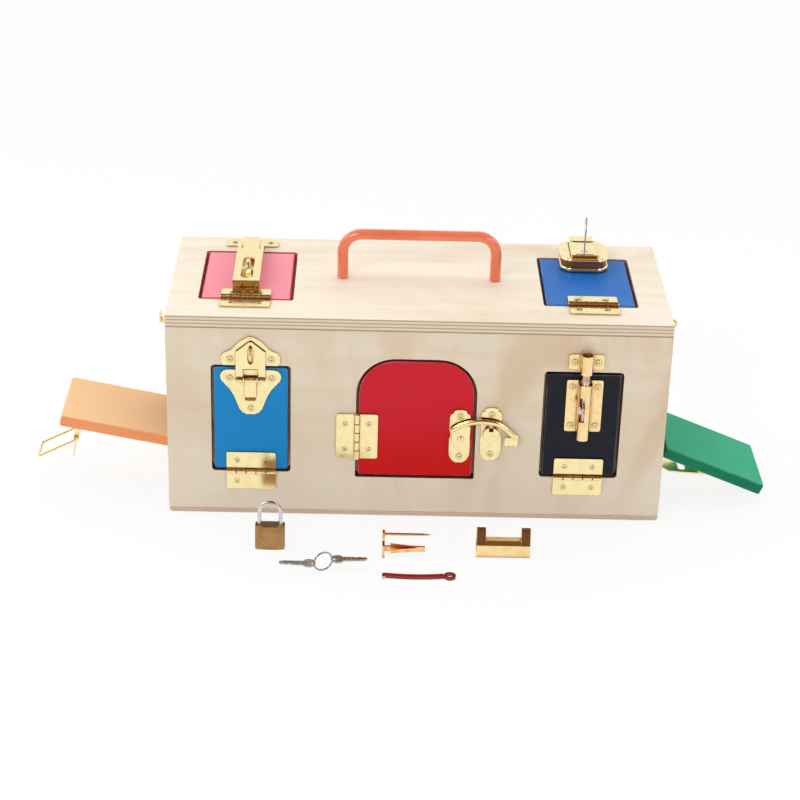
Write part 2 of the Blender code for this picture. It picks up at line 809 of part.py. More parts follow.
# Arched centre door, hung from its left edge
arch_axis = ARCH_LEFT + DOOR_GAP / 2
arch_door = plate(
    rounded(
        DOOR_GAP / 2,
        ARCH_SILL + DOOR_GAP - ARCH_HINGE_HEIGHT,
        ARCH_RIGHT - DOOR_GAP - arch_axis,
        ARCH_CROWN - DOOR_GAP - ARCH_HINGE_HEIGHT,
        (DOOR_ROUND, DOOR_ROUND, ARCH_RADIUS - DOOR_GAP, ARCH_RADIUS - DOOR_GAP),
        10,
    ),
    -HINGE_AXIS_UP - DOOR_THICK,
    -HINGE_AXIS_UP,
)
arch_face = hinged(
    "centre",
    front,
    (arch_axis, ARCH_HINGE_HEIGHT, HINGE_AXIS_UP),
    arch_door,
    red_paint,
    0,
    upright=True,
)

# Carrying handle: one bent bar
handle_bar = [(-HANDLE_CENTRES / 2, 0, SEAT)]
bend = HANDLE_BEND
for x, z in arc(-HANDLE_CENTRES / 2 + bend, HANDLE_RISE - bend, bend, 180, 90, 7):
    handle_bar.append((x, 0, z))
for x, z in arc(HANDLE_CENTRES / 2 - bend, HANDLE_RISE - bend, bend, 90, 0, 7):
    handle_bar.append((x, 0, z))
handle_bar.append((HANDLE_CENTRES / 2, 0, SEAT))
node(
    "carrying_handle",
    wire(handle_bar, HANDLE_RADIUS, resolution=4),
    orange_enamel,
    top,
    (0, HANDLE_Y, 0),
)


def seated(low=SEAT, thick=PLATE_THICK):
    """The z range of a plate that lies on a wall or a door."""
    return low, low + thick


def pair(apart, y, x=0.0, radius=SCREW_HOLE):
    return [circle(x + s * apart / 2, y, radius, 10) for s in (-1, 1)]


# Profiles drawn in (y, z) and given width along x
side_view = Matrix(((0, 0, 1, 0), (1, 0, 0, 0), (0, 1, 0, 0), (0, 0, 0, 1)))
# Profiles drawn in (x, z) and given length along y
end_view = Matrix(((1, 0, 0, 0), (0, 0, -1, 0), (0, 1, 0, 0), (0, 0, 0, 1)))


def side_profile(outline, low, high, holes=()):
    return plate(outline, low, high, holes, side_view)


def end_profile(outline, low, high, holes=()):
    return plate(outline, -high, -low, holes, end_view)


# Hasp: a bell plate with a staple on the panel, a heart plate on the door
bell_shares = (
    (0, 0), (0.93, 0), (1.0, 0.08), (1.0, 0.33), (0.92, 0.43), (0.66, 0.54),
    (0.57, 0.64), (0.42, 0.80), (0.25, 0.91), (0.08, 1.0),
)
heart_shares = (
    (0.14, 0), (0.27, 0.04), (0.37, 0.12), (0.45, 0.25), (0.55, 0.42), (0.68, 0.56),
    (0.85, 0.68), (0.96, 0.76), (1.0, 0.84), (0.97, 0.92), (0.88, 0.98), (0.74, 1.0),
)
hasp_x = FRONT_LEFT_X
bell_screws = pair(HASP_SCREW_APART, HASP_PLATE_FOOT + HASP_SCREW_UP)
bell = node(
    "hasp_bell_plate",
    plate(
        shared(bell_shares, HASP_PLATE_WIDTH, HASP_PLATE_HEIGHT, HASP_PLATE_FOOT),
        *seated(),
        bell_screws,
    ),
    brass,
    front,
    (hasp_x, 0, 0),
)
staple_side = HASP_STAPLE_HIGH - HASP_STAPLE_LOW
staple_round = staple_side / 2
staple_middle = (HASP_STAPLE_LOW + HASP_STAPLE_HIGH) / 2
staple_path = [(0, HASP_STAPLE_LOW, SEAT + PLATE_THICK / 2)]
for y, z in arc(staple_middle, HASP_STAPLE_OUT - staple_round, staple_round, 180, 0, 8):
    staple_path.append((0, y, z))
staple_path.append((0, HASP_STAPLE_HIGH, SEAT + PLATE_THICK / 2))
join(bell, wire(staple_path, HASP_STAPLE_WIRE, resolution=1))

heart_screws = pair(HASP_HEART_SCREW_APART, HASP_HEART_FOOT + HASP_HEART_SCREW_UP)
heart_screws.append(circle(0, HASP_HEART_FOOT + HASP_HEART_LOW_SCREW_UP, SCREW_HOLE, 10))
heart = node(
    "hasp_heart_plate",
    plate(
        shared(heart_shares, HASP_HEART_WIDTH, HASP_HEART_HEIGHT, HASP_HEART_FOOT),
        *seated(),
        heart_screws,
    ),
    brass,
    front_left_face,
    (hasp_x, 0, 0),
)
cheek_in = HASP_TONGUE_WIDTH / 2 + SIDE_PLAY
cheek_out = cheek_in + HASP_CHEEK
cheek_top = HASP_AXIS_UP + HASP_BARREL_RADIUS
for s in (-1, 1):
    low, high = sorted((s * cheek_in, s * cheek_out))
    join(
        heart,
        box(
            (low, HASP_AXIS_HEIGHT - HASP_BARREL_RADIUS, SEAT + PLATE_THICK / 2),
            (high, HASP_AXIS_HEIGHT + HASP_BARREL_RADIUS, cheek_top),
        ),
    )
pin_half = HASP_FLAP_WIDTH / 2 + SIDE_PLAY
join(
    heart,
    rod(
        (-pin_half, HASP_AXIS_HEIGHT, HASP_AXIS_UP),
        (pin_half, HASP_AXIS_HEIGHT, HASP_AXIS_UP),
        HASP_PIN_RADIUS,
        segments=10,
    ),
)

# Flap and tongue turn on the heart plate's pin
hasp_axis = (hasp_x, HASP_AXIS_HEIGHT, HASP_AXIS_UP)
bore = HASP_PIN_RADIUS + PIVOT_CLEARANCE
flap_low = -HASP_BARREL_RADIUS
flap_half = HASP_FLAP_WIDTH / 2
slot_shares = ((0, 0), (0.7, 0.08), (1.0, 0.25), (1.0, 0.7), (0.6, 0.88), (0, 1.0))
slot = shared(slot_shares, HASP_SLOT_WIDTH, HASP_SLOT_HIGH - HASP_SLOT_LOW, HASP_SLOT_LOW)
flap_outline = [
    (-flap_half, 0),
    (-HASP_WINDOW_WIDTH / 2, 0),
    (-HASP_WINDOW_WIDTH / 2, HASP_WINDOW_HIGH),
    (HASP_WINDOW_WIDTH / 2, HASP_WINDOW_HIGH),
    (HASP_WINDOW_WIDTH / 2, 0),
    (flap_half, 0),
    (flap_half, HASP_FLAP_SHOULDER),
    (HASP_FLAP_WIDTH / 20, HASP_FLAP_TOP),
    (-HASP_FLAP_WIDTH / 20, HASP_FLAP_TOP),
    (-flap_half, HASP_FLAP_SHOULDER),
]
flap = node(
    "hasp_flap",
    plate(flap_outline, flap_low, flap_low + PLATE_THICK, (slot,)),
    brass,
    front_left_face,
    hasp_axis,
)
for s in (-1, 1):
    low, high = sorted((s * (HASP_WINDOW_WIDTH / 2 + SIDE_PLAY), s * (flap_half - SIDE_PLAY)))
    join(flap, rod((low, 0, 0), (high, 0, 0), HASP_BARREL_RADIUS, segments=14))
cut(flap, rod((-HASP_FLAP_WIDTH, 0, 0), (HASP_FLAP_WIDTH, 0, 0), bore, segments=10))

tongue_shares = (
    (0, 0.15), (-0.5, 0.05), (-0.8, 0.10), (-0.93, 0.50), (-1.0, 1.0),
    (-1.0, 0.5), (-0.94, -0.1), (-0.82, -0.55), (-0.5, -0.62), (0, -0.62),
)
tongue_outline = [(u * HASP_TONGUE_LENGTH, v * HASP_TONGUE_LIFT) for u, v in tongue_shares]
tongue_half = HASP_TONGUE_WIDTH / 2
tongue = node(
    "hasp_tongue",
    side_profile(tongue_outline, -tongue_half + SIDE_PLAY / 2, tongue_half - SIDE_PLAY / 2),
    brass,
    front_left_face,
    hasp_axis,
)
join(tongue, rod((-tongue_half, 0, 0), (tongue_half, 0, 0), HASP_BARREL_RADIUS, segments=14))
cut(tongue, rod((-HASP_FLAP_WIDTH, 0, 0), (HASP_FLAP_WIDTH, 0, 0), bore, segments=10))

# Lever latch: two scalloped plates, the lever on one and its receiver on the other
scallop_shares = (
    (0.35, 0), (0.72, 0.05), (0.95, 0.13), (1.0, 0.2), (1.0, 0.44), (0.9, 0.50), (0.9, 0.56),
    (1.0, 0.63), (1.0, 0.85), (0.88, 0.92), (0.68, 0.93), (0.55, 0.985), (0.25, 1.0),
)


def scalloped(foot, x):
    outline = shared(scallop_shares, LATCH_PLATE_WIDTH, LATCH_PLATE_HEIGHT, foot)
    holes = [
        circle(0, foot + LATCH_SCREW_INSET, SCREW_HOLE, 10),
        circle(0, foot + LATCH_PLATE_HEIGHT - LATCH_SCREW_INSET, SCREW_HOLE, 10),
    ]
    shift = Matrix.Translation((x, 0, 0))
    return plate(outline, *seated(), holes, shift)


hub_low = SEAT + PLATE_THICK + SIDE_PLAY
hub_high = hub_low + LATCH_HUB_THICK
cap_low = hub_high + SIDE_PLAY
pivot_x, pivot_y = LATCH_PIVOT_X, LATCH_PIVOT_HEIGHT
latch_plate = node(
    "lever_latch_plate", scalloped(LATCH_PLATE_FOOT, LATCH_PLATE_X), brass, arch_face
)
join(
    latch_plate,
    rod((pivot_x, pivot_y, SEAT * 2), (pivot_x, pivot_y, cap_low + SIDE_PLAY), LATCH_PIN_RADIUS),
    rod(
        (pivot_x, pivot_y, cap_low),
        (pivot_x, pivot_y, cap_low + LATCH_CAP_THICK),
        LATCH_CAP_RADIUS,
        LATCH_PIN_RADIUS,
    ),
)
keeper = node(
    "lever_latch_keeper", scalloped(KEEPER_PLATE_FOOT, KEEPER_PLATE_X), brass, front
)
receiver_top = RECEIVER_HEIGHT + RECEIVER_RADIUS
join(
    keeper,
    rod(
        (KEEPER_PLATE_X, RECEIVER_HEIGHT, SEAT * 2),
        (KEEPER_PLATE_X, RECEIVER_HEIGHT, RECEIVER_THICK),
        RECEIVER_RADIUS,
    ),
)
cut(
    keeper,
    box(
        (KEEPER_PLATE_X - RECEIVER_NOTCH / 2, receiver_top - RECEIVER_NOTCH, SEAT + PLATE_THICK),
        (KEEPER_PLATE_X + RECEIVER_NOTCH / 2, receiver_top + OVERRUN, RECEIVER_THICK + OVERRUN),
    ),
)

# The lever's arm: points along its middle as shares of its reach and rise, from the hub's centre
arm_shares = (
    (-0.167, 0.45), (-0.06, 0.68), (0.10, 0.88), (0.30, 1.0), (0.50, 0.98), (0.66, 0.86),
    (0.80, 0.58), (0.92, 0.25), (1.0, 0.09),
)
arm_middle = [(u * LATCH_ARM_REACH, v * LATCH_ARM_RISE) for u, v in arm_shares]


def band(points, half):
    """The outline of a strip along points."""
    upper, lower = [], []
    for i, (x, y) in enumerate(points):
        x0, y0 = points[max(i - 1, 0)]
        x1, y1 = points[min(i + 1, len(points) - 1)]
        length = math.hypot(x1 - x0, y1 - y0)
        nx, ny = (y0 - y1) / length * half, (x1 - x0) / length * half
        upper.append((x + nx, y + ny))
        lower.append((x - nx, y - ny))
    return upper + lower[::-1]


lever_at = (pivot_x, pivot_y, 0)
lever = node(
    "lever_latch_lever",
    plate(band(arm_middle, LATCH_ARM_HALF), LATCH_ARM_LOW, LATCH_ARM_HIGH),
    brass,
    arch_face,
    lever_at,
)
arm_end_x, arm_end_y = arm_middle[-1]
web_shares = ((-0.93, 0.1), (0.95, 0.0), (1.02, 0.8), (1.05, 1.6), (0.2, 1.75), (-1.0, 1.2))
web = [(u * LATCH_HUB_RADIUS, v * LATCH_HUB_RADIUS) for u, v in web_shares]
tab_low = LATCH_ARM_LOW + LEAF_TAPER
tab_high = (LATCH_ARM_LOW + LATCH_ARM_HIGH) / 2
join(
    lever,
    rod((0, 0, hub_low), (0, 0, hub_high), LATCH_HUB_RADIUS, segments=24),
    plate(web, hub_low + LEAF_TAPER, hub_high + LEAF_TAPER),
    plate(
        rounded(
            arm_end_x - LATCH_TAB_WIDTH,
            arm_end_y - LATCH_TAB_DROP,
            arm_end_x,
            arm_end_y + LATCH_ARM_HALF / 2,
            (LATCH_ARM_HALF, LATCH_ARM_HALF, LEAF_TAPER, LEAF_TAPER),
        ),
        tab_low,
        tab_high,
    ),
)
cut(
    lever,
    rod((0, 0, -OVERRUN), (0, 0, LATCH_ARM_HIGH), LATCH_PIN_RADIUS + PIVOT_CLEARANCE),
)

# Barrel bolt: a round rod in a half-round barrel, its keeper above the opening
bolt_bore = BOLT_RADIUS + BOLT_CLEARANCE


def saddle(bore, wall):
    """A half-round cover over the rod with straight sides down to the plate, in (x, z)."""
    reach = bore + wall
    outline = arc(0, BOLT_AXIS_UP, reach, 0, 180, 12)
    return [(reach, SEAT + PLATE_THICK / 2)] + outline + [(-reach, SEAT + PLATE_THICK / 2)]


bolt_hole = circle(0, BOLT_AXIS_UP, bolt_bore, 20)
body = node(
    "barrel_bolt_body",
    plate(
        rounded(
            -BOLT_PLATE_WIDTH / 2, BOLT_PLATE_LOW, BOLT_PLATE_WIDTH / 2, BOLT_PLATE_HIGH,
            HINGE_CORNER, 2,
        ),
        *seated(),
        pair(BOLT_PLATE_WIDTH - 2 * BOLT_SCREW_IN, BOLT_PLATE_LOW + BOLT_SCREW_END)
        + pair(BOLT_PLATE_WIDTH - 2 * BOLT_SCREW_IN, BOLT_PLATE_HIGH - BOLT_SCREW_END),
    ),
    brass,
    front_right_face,
    (BOLT_X, 0, 0),
)
barrel_cover = saddle(bolt_bore, BOLT_WALL)
join(body, end_profile(barrel_cover, BOLT_BARREL_LOW, BOLT_PLATE_HIGH - BOLT_WALL, [bolt_hole]))
tilt = Matrix.Rotation(-BOLT_KNOB_TILT, 4, "Y")
lift = Matrix.Translation((0, 0, BOLT_AXIS_UP))
slot_half = BOLT_KNOB_RADIUS + BOLT_SLOT_PLAY
slot_box = box(
    (-slot_half, BOLT_KNOB_HEIGHT - BOLT_DRAW - slot_half, 0),
    (slot_half, BOLT_KNOB_HEIGHT + BOLT_THROW + slot_half, bolt_bore + BOLT_WALL * 2),
)
slot_box.transform(lift @ tilt)
cut(body, slot_box)

bolt_rod = node(
    "barrel_bolt_rod",
    rod((0, BOLT_ROD_LOW, 0), (0, BOLT_LOOP_LOW - SIDE_PLAY * 2, 0), BOLT_RADIUS, segments=20),
    steel,
    front_right_face,
    (BOLT_X, 0, BOLT_AXIS_UP),
)
knob_way = Vector((-math.sin(BOLT_KNOB_TILT), 0, math.cos(BOLT_KNOB_TILT)))
knob_foot = Vector((0, BOLT_KNOB_HEIGHT, 0))
knob_neck = knob_foot + knob_way * BOLT_KNOB_LENGTH
join(
    bolt_rod,
    rod(knob_foot, knob_neck + knob_way * BOLT_KNOB_RADIUS, BOLT_KNOB_RADIUS, segments=12),
    rod(
        knob_neck,
        knob_neck + knob_way * BOLT_KNOB_HEAD,
        BOLT_KNOB_HEAD,
        BOLT_KNOB_HEAD - BOLT_KNOB_RADIUS / 2,
        segments=16,
    ),
)
bolt_keeper = node(
    "barrel_bolt_keeper",
    plate(
        rounded(
            -BOLT_KEEPER_WIDTH / 2, BOLT_KEEPER_LOW, BOLT_KEEPER_WIDTH / 2, BOLT_KEEPER_HIGH,
            HINGE_CORNER, 2,
        ),
        *seated(),
        pair(BOLT_KEEPER_WIDTH - 2 * BOLT_SCREW_IN, (BOLT_KEEPER_LOW + BOLT_KEEPER_HIGH) / 2),
    ),
    brass,
    front,
    (BOLT_X, 0, 0),
)
loop_bore = BOLT_RADIUS + BOLT_LOOP_CLEARANCE
loop_cover = saddle(loop_bore, BOLT_LOOP_WALL)
loop_hole = circle(0, BOLT_AXIS_UP, loop_bore, 20)
join(bolt_keeper, end_profile(loop_cover, BOLT_LOOP_LOW, BOLT_LOOP_HIGH, [loop_hole]))

# Toggle latch: base with a staple, lever, link and the strike behind the lid
top_plate = seated()
toggle_base = node(
    "toggle_base",
    plate(
        rounded(
            -TOGGLE_BASE_WIDTH / 2, TOGGLE_BASE_FRONT, TOGGLE_BASE_WIDTH / 2, TOGGLE_BASE_REAR,
            HINGE_CORNER, 2,
        ),
        *top_plate,
    ),
    brass,
    top_left_face,
    (TOGGLE_X, 0, 0),
)
ear_out = TOGGLE_LEVER_WIDTH / 2
ear_in = ear_out - TOGGLE_EAR
cheek_out = ear_in - SIDE_PLAY
cheek_in = cheek_out - TOGGLE_EAR
for s in (-1, 1):
    low, high = sorted((s * cheek_in, s * cheek_out))
    foot_low, foot_high = sorted((s * (TOGGLE_BASE_WIDTH / 2 - TOGGLE_EAR), s * cheek_out))
    join(
        toggle_base,
        box(
            (foot_low, TOGGLE_PIVOT_Y - TOGGLE_EAR_RADIUS, SEAT + LEAF_TAPER),
            (foot_high, TOGGLE_BASE_REAR - TOGGLE_EAR, SEAT + PLATE_THICK - LEAF_TAPER),
        ),
        side_profile(
            [
                (TOGGLE_PIVOT_Y - TOGGLE_PIN_RADIUS * 2, SEAT + PLATE_THICK / 2),
                (TOGGLE_PIVOT_Y + TOGGLE_PIN_RADIUS * 2, SEAT + PLATE_THICK / 2),
            ]
            + arc(TOGGLE_PIVOT_Y, TOGGLE_PIVOT_UP, TOGGLE_PIN_RADIUS * 2, 0, 180, 6),
            low,
            high,
        ),
    )
toggle_axis = (TOGGLE_X, TOGGLE_PIVOT_Y, TOGGLE_PIVOT_UP)
for s in (-1, 1):
    join(
        toggle_base,
        rod(
            (s * (cheek_in + TOGGLE_EAR / 3), TOGGLE_PIVOT_Y, TOGGLE_PIVOT_UP),
            (s * (ear_out + SIDE_PLAY), TOGGLE_PIVOT_Y, TOGGLE_PIVOT_UP),
            TOGGLE_PIN_RADIUS,
            segments=10,
        ),
    )
staple_round = TOGGLE_STAPLE_SPAN / 2
loop = [(0, TOGGLE_STAPLE_Y - staple_round, SEAT + PLATE_THICK / 2)]
for y, z in arc(TOGGLE_STAPLE_Y, TOGGLE_STAPLE_UP - staple_round, staple_round, 180, 0, 8):
    loop.append((0, y, z))
loop.append((0, TOGGLE_STAPLE_Y + staple_round, SEAT + PLATE_THICK / 2))
join(toggle_base, wire(loop, TOGGLE_STAPLE_WIRE, resolution=2))

# The lever's frame is its pin; its top plate is forked so that the link swings between the arms
lever_top = TOGGLE_LEVER_TOP - TOGGLE_PIVOT_UP
lever_low = lever_top - PLATE_THICK
lever_front = TOGGLE_LEVER_FRONT - TOGGLE_PIVOT_Y
lever_rear = TOGGLE_LEVER_REAR - TOGGLE_PIVOT_Y
fork_half = LINK_WIDTH / 2 + SIDE_PLAY * 2
fork_low = TOGGLE_FORK_LOW - TOGGLE_PIVOT_Y
lever_outline = [
    (-ear_out, lever_front),
    (ear_out, lever_front),
    (ear_out, lever_rear),
    (fork_half, lever_rear),
    (fork_half, fork_low),
    (-fork_half, fork_low),
    (-fork_half, lever_rear),
    (-ear_out, lever_rear),
]
slot_in = TOGGLE_SLOT_WIDTH / 2
lever_slot = rounded(
    -slot_in, TOGGLE_SLOT_LOW - TOGGLE_PIVOT_Y, slot_in, TOGGLE_SLOT_HIGH - TOGGLE_PIVOT_Y,
    slot_in - SIDE_PLAY, 5,
)
toggle_lever = node(
    "toggle_lever",
    plate(lever_outline, lever_low, lever_top, (lever_slot,)),
    brass,
    top_left_face,
    toggle_axis,
)
join(
    toggle_lever,
    box(
        (-ear_out + LEAF_TAPER, lever_front + LEAF_TAPER, lever_top - TOGGLE_LEVER_DROP),
        (ear_out - LEAF_TAPER, lever_front + PLATE_THICK, lever_top - LEAF_TAPER),
    ),
)
for s in (-1, 1):
    low, high = sorted((s * ear_in, s * (ear_out - LEAF_TAPER)))
    ear = [(-TOGGLE_EAR_RADIUS * 2, lever_low + PLATE_THICK / 2)]
    ear += arc(0, 0, TOGGLE_EAR_RADIUS - PLATE_THICK, 200, 345, 6)
    ear += [(lever_rear - LEAF_TAPER, 0), (lever_rear - LEAF_TAPER, lever_low + PLATE_THICK / 2)]
    join(toggle_lever, side_profile(ear, low, high))
cut(
    toggle_lever,
    rod(
        (-TOGGLE_LEVER_WIDTH, 0, 0),
        (TOGGLE_LEVER_WIDTH, 0, 0),
        TOGGLE_PIN_RADIUS + PIVOT_CLEARANCE,
        segments=10,
    ),
)
link_at = (0, LINK_PIVOT_Y - TOGGLE_PIVOT_Y, LINK_PIVOT_UP - TOGGLE_PIVOT_UP)

# The link's frame is its pivot in the lever; its hook drops behind the strike's lip
link_top = LINK_TOP - LINK_PIVOT_UP
link_low = link_top - PLATE_THICK
hook_y = LINK_HOOK_Y - LINK_PIVOT_Y
link_rear = hook_y + PLATE_THICK
link_outline = [
    (-PLATE_THICK, link_low),
    (hook_y, link_low),
    (hook_y, LINK_HOOK_LOW - LINK_PIVOT_UP),
    (link_rear, LINK_HOOK_LOW - LINK_PIVOT_UP),
    (link_rear, link_top - PLATE_THICK / 2),
    (link_rear - PLATE_THICK / 2, link_top),
    (-PLATE_THICK, link_top),
]
node(
    "toggle_link",
    side_profile(link_outline, -LINK_WIDTH / 2, LINK_WIDTH / 2),
    brass,
    toggle_lever,
    link_at,
)

strike_half = LINK_WIDTH / 2
strike_outline = [
    (-strike_half, STRIKE_LIP_Y),
    (strike_half, STRIKE_LIP_Y),
    (strike_half, STRIKE_FRONT + SIDE_PLAY),
    (STRIKE_WIDTH / 2 - HINGE_CORNER, STRIKE_FRONT),
    (STRIKE_WIDTH / 2, STRIKE_FRONT + HINGE_CORNER),
    (STRIKE_WIDTH / 2, STRIKE_REAR - HINGE_CORNER),
    (STRIKE_WIDTH / 2 - HINGE_CORNER, STRIKE_REAR),
    (-STRIKE_WIDTH / 2 + HINGE_CORNER, STRIKE_REAR),
    (-STRIKE_WIDTH / 2, STRIKE_REAR - HINGE_CORNER),
    (-STRIKE_WIDTH / 2, STRIKE_FRONT + HINGE_CORNER),
    (-STRIKE_WIDTH / 2 + HINGE_CORNER, STRIKE_FRONT),
    (-strike_half, STRIKE_FRONT + SIDE_PLAY),
]
strike = node(
    "toggle_strike",
    plate(strike_outline, *top_plate, pair(STRIKE_SCREW_APART, STRIKE_SCREW_Y)),
    brass,
    top,
    (TOGGLE_X, 0, 0),
)
join(
    strike,
    box(
        (-strike_half + LEAF_TAPER, STRIKE_LIP_Y + LEAF_TAPER, SEAT + LEAF_TAPER),
        (strike_half - LEAF_TAPER, STRIKE_LIP_Y + PLATE_THICK, STRIKE_LIP_UP),
    ),
)


# Key lock: two eight-sided plates with a recessed core between them and a raised block
def octagon(half, front_edge, rear_edge, corner):
    return [
        (-half, front_edge + corner),
        (-half + corner, front_edge),
        (half - corner, front_edge),
        (half, front_edge + corner),
        (half, rear_edge - corner),
        (half - corner, rear_edge),
        (-half + corner, rear_edge),
        (-half, rear_edge - corner),
    ]


lock_half = LOCK_WIDTH / 2
inset = LOCK_CORE_INSET
lock = node(
    "key_lock_case",
    plate(octagon(lock_half, LOCK_FRONT, LOCK_REAR, LOCK_CORNER), LOCK_FOOT, LOCK_LOWER_TOP),
    brass,
    top_right_face,
    (LOCK_X, 0, 0),
)
core = octagon(lock_half - inset, LOCK_FRONT + inset, LOCK_REAR - inset, LOCK_CORNER)
upper = octagon(lock_half, LOCK_FRONT, LOCK_REAR, LOCK_CORNER)
lock_middle = (LOCK_LOWER_TOP + LOCK_FOOT) / 2
join(
    lock,
    plate(core, lock_middle, (LOCK_UPPER_LOW + LOCK_UPPER_TOP) / 2),
    plate(upper, LOCK_UPPER_LOW, LOCK_UPPER_TOP),
    box(
        (-LOCK_BLOCK_WIDTH / 2, LOCK_BLOCK_FRONT, LOCK_UPPER_LOW + PLATE_THICK),
        (LOCK_BLOCK_WIDTH / 2, LOCK_BLOCK_REAR, LOCK_BLOCK_TOP),
    ),
)
slit_half = LOCK_BLOCK_WIDTH / 2 - LOCK_CORE_INSET
slits = []
for middle in (LOCK_BLOCK_FRONT + LOCK_SLIT * 2, LOCK_BLOCK_REAR - LOCK_SLIT * 2):
    slits.append(
        box(
            (-slit_half, middle - LOCK_SLIT / 2, LOCK_UPPER_TOP - SIDE_PLAY),
            (slit_half, middle + LOCK_SLIT / 2, LOCK_BLOCK_TOP + OVERRUN),
        )
    )
cut(
    lock,
    *slits,
    rod(
        (0, KEYHOLE_Y, LOCK_BLOCK_TOP - KEYHOLE_DEPTH),
        (0, KEYHOLE_Y, LOCK_BLOCK_TOP + OVERRUN),
        KEYHOLE_RADIUS,
    ),
)
# The key stands in a round plug; both turn about the key's own length
plug_low = LOCK_BLOCK_TOP - KEYHOLE_DEPTH + LOCK_KEY_CLEARANCE
lock_key = node(
    "key_lock_key",
    rod(
        (0, 0, plug_low),
        (0, 0, LOCK_BLOCK_TOP - SIDE_PLAY),
        KEYHOLE_RADIUS - LOCK_KEY_CLEARANCE,
    ),
    steel,
    top_right_face,
    (LOCK_X, KEYHOLE_Y, 0),
)
bow_low = LOCK_KEY_TOP - LOCK_KEY_BOW_UP
bow_half = LOCK_KEY_BOW / 2
key_outline = [(-LOCK_KEY_SHANK / 2, plug_low + LOCK_SLIT), (LOCK_KEY_SHANK / 2, plug_low + LOCK_SLIT)]
key_outline += [(LOCK_KEY_SHANK / 2, bow_low)]
key_outline += arc(0, bow_low + bow_half, bow_half, -50, 0, 3)
key_outline += arc(0, LOCK_KEY_TOP - bow_half, bow_half, 10, 170, 8)
key_outline += arc(0, bow_low + bow_half, bow_half, 180, 230, 3)
key_outline += [(-LOCK_KEY_SHANK / 2, bow_low)]
key_hole = circle(0, LOCK_KEY_TOP - LOCK_KEY_HOLE * 2, LOCK_KEY_HOLE, 12)
join(
    lock_key,
    side_profile(key_outline, -LOCK_KEY_THICK / 2, LOCK_KEY_THICK / 2, (key_hole,)),
)
tab_outline = [
    (LOCK_TAB_FRONT, SEAT),
    (LOCK_TAB_REAR, SEAT),
    (LOCK_TAB_REAR, SEAT + PLATE_THICK),
    (LOCK_TAB_FRONT + PLATE_THICK, SEAT + PLATE_THICK),
    (LOCK_TAB_FRONT + PLATE_THICK, LOCK_TAB_UP - PLATE_THICK),
    (LOCK_TAB_REAR - PLATE_THICK, LOCK_TAB_UP - PLATE_THICK),
    (LOCK_TAB_REAR - PLATE_THICK, LOCK_TAB_UP),
    (LOCK_TAB_FRONT, LOCK_TAB_UP),
]
node(
    "key_lock_strike",
    side_profile(tab_outline, -LOCK_TAB_WIDTH / 2, LOCK_TAB_WIDTH / 2),
    brass,
    top,
    (LOCK_X, 0, 0),
)

# Draw latch on the left end door: base with cheeks, lever, wire bail and its hook on the wall
draw_x = -END_OPENING_Y
draw_y = sill_axis + DRAW_AXIS_ALONG
draw_base = node(
    "draw_latch_base",
    plate(
        rounded(
            -DRAW_BASE_WIDTH / 2, sill_axis + DRAW_BASE_LOW, DRAW_BASE_WIDTH / 2,
            sill_axis + DRAW_BASE_HIGH, HINGE_CORNER, 2,
        ),
        *seated(),
    ),
    brass,
    left_face,
    (draw_x, 0, 0),
)
cheek_in = DRAW_LEVER_WIDTH / 2 + SIDE_PLAY
cheek_out = cheek_in + PLATE_THICK
cheek_arc = arc(draw_y, DRAW_AXIS_UP, DRAW_CHEEK_RADIUS, 0, 180, 6)
cheek_outline = [
    (draw_y - DRAW_CHEEK_RADIUS * 3, SEAT + PLATE_THICK / 2),
    (draw_y + DRAW_CHEEK_RADIUS * 3, SEAT + PLATE_THICK / 2),
] + cheek_arc
for s in (-1, 1):
    low, high = sorted((s * cheek_in, s * cheek_out))
    join(draw_base, side_profile(cheek_outline, low, high))
join(
    draw_base,
    rod(
        (-cheek_out - SIDE_PLAY, draw_y, DRAW_AXIS_UP),
        (cheek_out + SIDE_PLAY, draw_y, DRAW_AXIS_UP),
        DRAW_PIN_RADIUS,
        segments=10,
    ),
)
draw_half = DRAW_LEVER_WIDTH / 2
half_thick = DRAW_LEVER_THICK / 2
draw_lever = node(
    "draw_latch_lever",
    rod((-draw_half, 0, 0), (draw_half, 0, 0), DRAW_BARREL_RADIUS, segments=14),
    brass,
    left_face,
    (draw_x, draw_y, DRAW_AXIS_UP),
)
lever_blank = rounded(
    -draw_half + LEAF_TAPER, 0, draw_half - LEAF_TAPER, DRAW_LEVER_LENGTH,
    (0, 0, HINGE_CORNER * 2, HINGE_CORNER * 2), 4,
)
# The lever's plate stands square to the door: its outline's y becomes z
stand = Matrix.Rotation(math.radians(90), 4, "X")
join(
    draw_lever,
    plate(lever_blank, -half_thick, half_thick, (), stand),
    rod(
        (-draw_half + SIDE_PLAY, 0, BAIL_AXIS_OUT),
        (draw_half - SIDE_PLAY, 0, BAIL_AXIS_OUT),
        DRAW_BARREL_RADIUS - SIDE_PLAY,
        segments=14,
    ),
)
cut(
    draw_lever,
    rod(
        (-DRAW_LEVER_WIDTH, 0, 0),
        (DRAW_LEVER_WIDTH, 0, 0),
        DRAW_PIN_RADIUS + PIVOT_CLEARANCE,
        segments=10,
    ),
    rod(
        (-DRAW_LEVER_WIDTH, 0, BAIL_AXIS_OUT),
        (DRAW_LEVER_WIDTH, 0, BAIL_AXIS_OUT),
        BAIL_WIRE + PIVOT_CLEARANCE,
        segments=10,
    ),
)
bail_half = BAIL_WIDTH / 2
bend = BAIL_WIRE * 2
bail_in = draw_half - BAIL_END
bail_path = [(-bail_in, 0), (-bail_half + bend, 0)]
bail_path += arc(-bail_half + bend, bend, bend, 270, 180, 3)[1:]
bail_path += arc(-bail_half + bend, BAIL_LENGTH - bend, bend, 180, 90, 3)
bail_path += arc(bail_half - bend, BAIL_LENGTH - bend, bend, 90, 0, 3)
bail_path += arc(bail_half - bend, bend, bend, 360, 270, 3)
